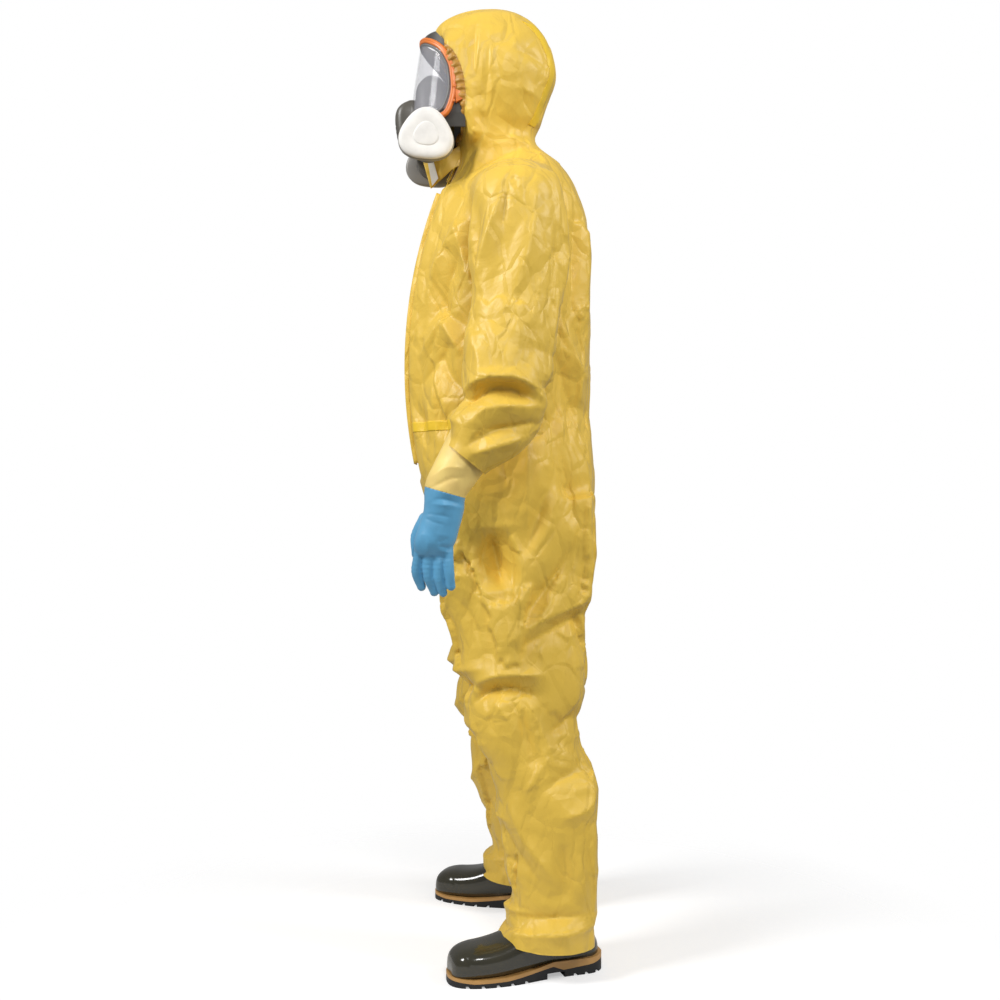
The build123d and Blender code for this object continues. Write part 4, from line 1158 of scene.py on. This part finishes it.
# fingers: three points each and their radii
FINGERS = [((315, -135, 782), (311, -140, 744), (303, -132, 717), 10.2, 9.4, 8.2),
           ((319, -118, 776), (317, -119, 737), (307, -109, 708), 10.2, 9.4, 8.2),
           ((321, -101, 776), (322, -100, 735), (315, -93, 707), 10.0, 9.2, 8.0),
           ((321, -85, 784), (327, -82, 748), (326, -79, 718), 9.8, 8.8, 7.8),
           ((303, -124, 834), (292, -140, 805), (288, -141, 774), 14.0, 12.0, 9.6)]
GLOVE_FOLDS = [(-2.6, 5, 1, [(-108, 871), (-86, 869), (-60, 862)]),
               (2.2, 4, 1, [(-112, 862), (-84, 860), (-60, 855)]),
               (-2.0, 5, 1, [(-120, 845), (-100, 843), (-80, 839)]),
               (-1.8, 5, 1, [(-124, 838), (-106, 830), (-88, 827)]),
               (-2.2, 4, 1, [(-101, 795), (-83, 803)]), (-2.4, 4, 1, [(-101, 789), (-80, 785)]),
               (1.6, 4, 1, [(-100, 782), (-80, 778)]),
               (-2.2, 4, 1, [(-107, 770), (-88, 769)]), (1.5, 5, 1, [(-118, 800), (-120, 772)]),
               (-1.2, 5, 1, [(-132, 880), (-96, 900), (-70, 912)]),
               (3.0, 9, 1, [(-116, 905), (-84, 925), (-50, 922)]),
               (-2.6, 8, 1, [(-105, 892), (-78, 905), (-52, 908)])]


def limb_tube(bm, rings, side, segments=28):
    tube(bm, [(Vector((side * x, y, z)) * MM, hx * MM, hy * MM, math.radians(tilt)) for x, y, z, hx, hy,
              tilt in rings], segments)


def make_glove(word, side, hand_finish, cuff_finish):
    """One glove, fused from its limb and fingers, then parted at the edge of the dipping."""
    bm = bmesh.new()
    limb_tube(bm, smooth_rows(GAUNTLET, 3), side, 40)
    for a, b, c, ra, rb, rc in FINGERS:
        joints = smooth_rows([(*a, ra), (*b, rb), (*c, rc)], 5)
        for x, y, z, radius in joints:
            bmesh.ops.create_icosphere(bm, subdivisions=3, radius=radius * MM,
                                       matrix=Matrix.Translation(Vector((side * x, y, z)) * MM))
    glove = fuse(object_from(bm, f"glove_{word}"), 0.0021, 4)
    co, no = points_of(glove), normals_of(glove).copy()
    press_folds(co, no, GLOVE_FOLDS, 1, 0, 1, gain=1.0)
    press_folds(co, no, GLOVE_FOLDS, 1, 0, -1, shift=(-4, 5), gain=1.0)
    crumple(co, no, 0.03, 0.0007, (1, 1, 1), 2.2)
    set_points(glove, co)
    line, way = GLOVE_LINE[0].copy() * MM, GLOVE_LINE[1].normalized()
    line.x *= side
    top, up = Vector((side * 301, -42, 977)) * MM, Vector((0, 0.48, 0.88)).normalized()
    for name, node, planes, finish in (
            ("hand", "glove_hand", [(line, -way)], hand_finish),
            ("cuff", "glove_gauntlet", [(line, way), (top, up)], cuff_finish)):
        bm = bmesh.new()
        bm.from_mesh(glove.data)
        for point, outward in planes:
            bmesh.ops.bisect_plane(bm, geom=[*bm.verts, *bm.edges, *bm.faces], plane_co=point,
                                   plane_no=outward, dist=1e-6,
                                   clear_outer=True)
        mesh = bpy.data.meshes.new(f"{node}_{name}_{word}")
        bm.to_mesh(mesh)
        bm.free()
        obj = bpy.data.objects.new(f"{name}_{word}", mesh)
        bpy.context.scene.collection.objects.link(obj)
        thick = obj.modifiers.new("thickness", "SOLIDIFY")
        thick.thickness = 0.0012 if name == "hand" else 0.0015
        thick.offset = -1
        apply_modifiers(obj)
        finish_piece(obj, finish, f"glove_{word}", f"{node}_{word}")
    bpy.data.objects.remove(glove)


def make_gloves():
    settings = bpy.context.scene.suit_glove
    hand = moulded("dipped blue", tuple(settings.hand), 0.42, 520, 0.10, Sheen_Weight=0.1)
    cuff = moulded("gauntlet cream", tuple(settings.gauntlet), 0.5, 420, 0.10)
    for word, side in SIDES.items():
        make_glove(word, side, hand, cuff)


class SUIT_OT_gloves(bpy.types.Operator):
    """Build the gloves"""
    bl_idname = "suit.gloves"
    bl_label = "Gloves"

    def execute(self, context):
        make_gloves()
        return {"FINISHED"}


# ---------------------------------------------------------------- boots
# foot: distance behind the ankle, half width, height of the top
# shaft: height, half width, half depth, set back
FOOT = [(-204, 18, 38), (-199, 30, 50), (-186, 41, 59), (-165, 48, 64), (-140, 51, 66), (-110, 51, 72),
        (-80, 48, 84), (-50, 45, 101),
        (-20, 44, 124), (20, 43, 118), (48, 39, 96), (66, 31, 72), (78, 18, 52)]
SHAFT = [(60, 40, 52, 6), (105, 42, 52, 6), (150, 43, 47, 3), (250, 41, 45, 0), (348, 41, 45, 0)]
ANKLE = (183.0, 109.0)
TOE_OUT = math.radians(18)
SHIN_LEAN = {1: (0.1136, 0.1333), -1: (0.1136, 0.0724)}
BOOT_FOLDS = [(-1.2, 2.2, 1, [(-58, 60), (-49, 44), (-37, 25), (-26, 14)]),
              (-1.6, 8, 1, [(30, 110), (70, 122), (110, 120)]),
              (1.6, 7, 1, [(34, 98), (80, 108), (130, 104)]), (-1.2, 7, 1, [(60, 88), (110, 92), (160, 86)]),
              (1.2, 4, 1, [(120, 46), (150, 50), (182, 52)])]


def make_boot(word, side, finish):
    """One boot: foot and shaft fused, with the seam of the toe cap and soft creases at the ankle."""
    bm = bmesh.new()
    turn = Matrix.Rotation(TOE_OUT, 4, "Z")
    rows = [(Vector((0, y, (top + 8) / 2)) * MM, half * MM, (top - 8) / 2 * MM, math.pi / 2) for y, half,
            top in smooth_rows(FOOT, 3)]
    tube(bm, rows, segments=48, power=0.74)
    for v in bm.verts:
        v.co = turn @ v.co
    across, back = SHIN_LEAN[side]
    shaft = []
    for z, half_x, half_y, behind in smooth_rows(SHAFT, 3):
        rise = z - 110
        shaft.append((Vector((-across * rise, behind - back * rise, z)) * MM, half_x * MM, half_y * MM, 0.0))
    tube(bm, shaft, segments=48)
    for v in bm.verts:
        v.co += Vector((ANKLE[0], ANKLE[1] + (STRIDE if side < 0 else 0), 0)) * MM
        v.co.x *= side
    boot = fuse(object_from(bm, f"boot_{word}_rubber"), 0.0032, 4)
    co, no = points_of(boot), normals_of(boot).copy()
    shift = (STRIDE if side < 0 else 0, 0)
    press_folds(co, no, BOOT_FOLDS, 1, 0, 1, shift=shift)
    press_folds(co, no, BOOT_FOLDS, 1, 0, -1, shift=shift)
    set_points(boot, co)
    bm = bmesh.new()
    bm.from_mesh(boot.data)
    for point, way in (((0, 0, 343), (0, 0, 1)), ((0, 0, 12), (0, 0, -1))):
        bmesh.ops.bisect_plane(bm, geom=[*bm.verts, *bm.edges, *bm.faces], plane_co=Vector(point) * MM,
                               plane_no=way,
                               dist=1e-6, clear_outer=True)
    bm.to_mesh(boot.data)
    bm.free()
    thick = boot.modifiers.new("thickness", "SOLIDIFY")
    thick.thickness = 0.0024
    thick.offset = -1
    apply_modifiers(boot)
    finish_piece(boot, finish, f"boot_{word}", f"boot_upper_{word}")


def make_boots():
    settings = bpy.context.scene.suit_boot
    upper = moulded("boot rubber", tuple(settings.upper), 0.16, 300, 0.05, Coat_Weight=0.6, Coat_Roughness=0.08)
    rand = moulded("boot rand", tuple(settings.rand), 0.4)
    sole = moulded("boot sole", (0.012, 0.012, 0.013), 0.5, 380, 0.2)
    for word, side in SIDES.items():
        make_boot(word, side, upper)
        give(frame["nodes"][f"boot_band_{word}"], rand)
        give(frame["nodes"][f"boot_outsole_{word}"], sole)


class SUIT_OT_boots(bpy.types.Operator):
    """Build the boots"""
    bl_idname = "suit.boots"
    bl_label = "Boots"

    def execute(self, context):
        make_boots()
        return {"FINISHED"}


# ---------------------------------------------------------------- hardware kept from the frame
def make_hardware():
    """Finishes for the small hard parts that show the frame's own shape."""
    nodes = frame["nodes"]
    zip_yellow = tuple(bpy.context.scene.suit_coverall.tape)
    finishes = {
        "zip_tapes": moulded("zip tape", shade(zip_yellow, 0.9), 0.7, 1400, 0.4),
        "zip_teeth": moulded("zip teeth", shade(zip_yellow, 0.8), 0.35, 700, 0.1),
        "zip_slider": moulded("zip slider", shade(zip_yellow, 0.8), 0.3, 500, 0.1),
        "zip_pull": moulded("zip pull", shade(zip_yellow, 0.85), 0.3, 500, 0.1),
        "storm_flap_adhesive": moulded("release film", (0.85, 0.84, 0.80), 0.3, 300, 0.05),
        "chin_flap_adhesive": moulded("release film chin", (0.85, 0.84, 0.80), 0.3, 300, 0.05),
        # The face seal is a real rubber part, but its near-black colour is also painted shade, filling the gap
        # between mask and hood where shadow falls.
        "face_seal": moulded("face seal rubber and painted shade", (0.05, 0.046, 0.04), 0.5),
        "valve_disc": moulded("valve silicone", (0.35, 0.34, 0.32), 0.45),
        "strap_buckles": moulded("buckle black", (0.03, 0.03, 0.03), 0.35),
    }
    for name, material in finishes.items():
        give(nodes[name], material)


class SUIT_OT_hardware(bpy.types.Operator):
    """Finish the small hard parts"""
    bl_idname = "suit.hardware"
    bl_label = "Hardware"

    def execute(self, context):
        make_hardware()
        return {"FINISHED"}


# ---------------------------------------------------------------- stage
CAMERA_AT = Vector((2.460, 0.006, 0.869))
CAMERA_LENS = 44.2


def area_light(name, at, target, size, power, colour=(1, 1, 1)):
    light = bpy.data.lights.new(name, "AREA")
    light.shape = "RECTANGLE"
    light.size, light.size_y = size
    light.energy = power
    light.color = colour
    obj = bpy.data.objects.new(name, light)
    obj.location = at
    obj.rotation_euler = (Vector(target) - Vector(at)).to_track_quat("-Z", "Y").to_euler()
    bpy.context.scene.collection.objects.link(obj)


def make_stage():
    scene = bpy.context.scene
    bm = bmesh.new()
    bmesh.ops.create_grid(bm, x_segments=1, y_segments=1, size=12)
    floor = object_from(bm, "floor")
    m = Nodes("studio floor", (0.74, 0.74, 0.745), 0.8, Specular_IOR_Level=0.1)
    m.shader.inputs["Emission Color"].default_value = (1, 1, 1, 1)
    glow, sight = m.add("ShaderNodeMath", operation="MULTIPLY"), m.add("ShaderNodeLightPath")
    glow.inputs[1].default_value = 0.42
    m.link(sight.outputs["Is Camera Ray"], glow.inputs[0])
    m.link(glow.outputs["Value"], m.shader.inputs["Emission Strength"])
    ball = m.add("ShaderNodeTexGradient", gradient_type="SPHERICAL")
    spot = m.add("ShaderNodeMapping")
    spot.inputs["Scale"].default_value = (0.9, 0.9, 0.9)
    spot.inputs["Location"].default_value = (-0.1, 0.0, 0)
    m.link(m.coords, spot.inputs["Vector"])
    m.link(spot.outputs["Vector"], ball.inputs["Vector"])
    m.link(m.ramp(ball.outputs["Fac"], (0, 0, 0), (1, 1, 1), 0.08, 0.55), m.shader.inputs["Alpha"])
    give(floor, m.material)
    world = bpy.data.worlds.new("studio")
    scene.world = world
    world.use_nodes = True
    tree = world.node_tree
    seen, fill = tree.nodes["Background"], tree.nodes.new("ShaderNodeBackground")
    seen.inputs["Color"].default_value = fill.inputs["Color"].default_value = (1, 1, 1, 1)
    seen.inputs["Strength"].default_value = 1.0
    fill.inputs["Strength"].default_value = 0.25
    path, mix = tree.nodes.new("ShaderNodeLightPath"), tree.nodes.new("ShaderNodeMixShader")
    tree.links.new(path.outputs["Is Camera Ray"], mix.inputs["Fac"])
    tree.links.new(fill.outputs["Background"], mix.inputs[1])
    tree.links.new(seen.outputs["Background"], mix.inputs[2])
    tree.links.new(mix.outputs["Shader"], tree.nodes["World Output"].inputs["Surface"])
    area_light("key", (1.3, -2.5, 3.0), (0, 0, 1.3), (0.9, 1.2), 80)
    area_light("rim", (1.0, 2.8, 2.9), (0, 0, 1.2), (0.9, 1.2), 46)
    area_light("front", (2.8, 0.5, 3.0), (0, 0, 1.3), (0.8, 0.8), 42)
    camera = bpy.data.cameras.new("camera")
    camera.lens = CAMERA_LENS
    camera.sensor_width = 36
    obj = bpy.data.objects.new("camera", camera)
    obj.location = CAMERA_AT
    obj.rotation_euler = (math.radians(90), 0, math.radians(90))
    scene.collection.objects.link(obj)
    scene.camera = obj
    scene.view_settings.view_transform = "Standard"


class SUIT_OT_stage(bpy.types.Operator):
    """Set the floor, lights and camera"""
    bl_idname = "suit.stage"
    bl_label = "Stage"

    def execute(self, context):
        make_stage()
        return {"FINISHED"}


class SUIT_PT_panel(bpy.types.Panel):
    bl_label = "Protective suit"
    bl_idname = "SUIT_PT_panel"
    bl_space_type = "VIEW_3D"
    bl_region_type = "UI"
    bl_category = "Suit"

    def draw(self, context):
        for operator in OPERATORS:
            self.layout.operator(operator.bl_idname)


SETTINGS = {"suit_coverall": CoverallSettings, "suit_respirator": RespiratorSettings,
            "suit_glove": GloveSettings, "suit_boot": BootSettings}
OPERATORS = [SUIT_OT_coverall, SUIT_OT_respirator, SUIT_OT_gloves, SUIT_OT_boots, SUIT_OT_hardware,
             SUIT_OT_stage]


def register():
    for cls in [*SETTINGS.values(), *OPERATORS, SUIT_PT_panel]:
        bpy.utils.register_class(cls)
    for name, cls in SETTINGS.items():
        setattr(bpy.types.Scene, name, PointerProperty(type=cls))


def unregister():
    for name in SETTINGS:
        delattr(bpy.types.Scene, name)
    for cls in reversed([*SETTINGS.values(), *OPERATORS, SUIT_PT_panel]):
        bpy.utils.unregister_class(cls)


def main():
    register()
    for operator in OPERATORS:
        group, name = operator.bl_idname.split(".")
        getattr(getattr(bpy.ops, group), name)()


if __name__ == "__main__":
    main()
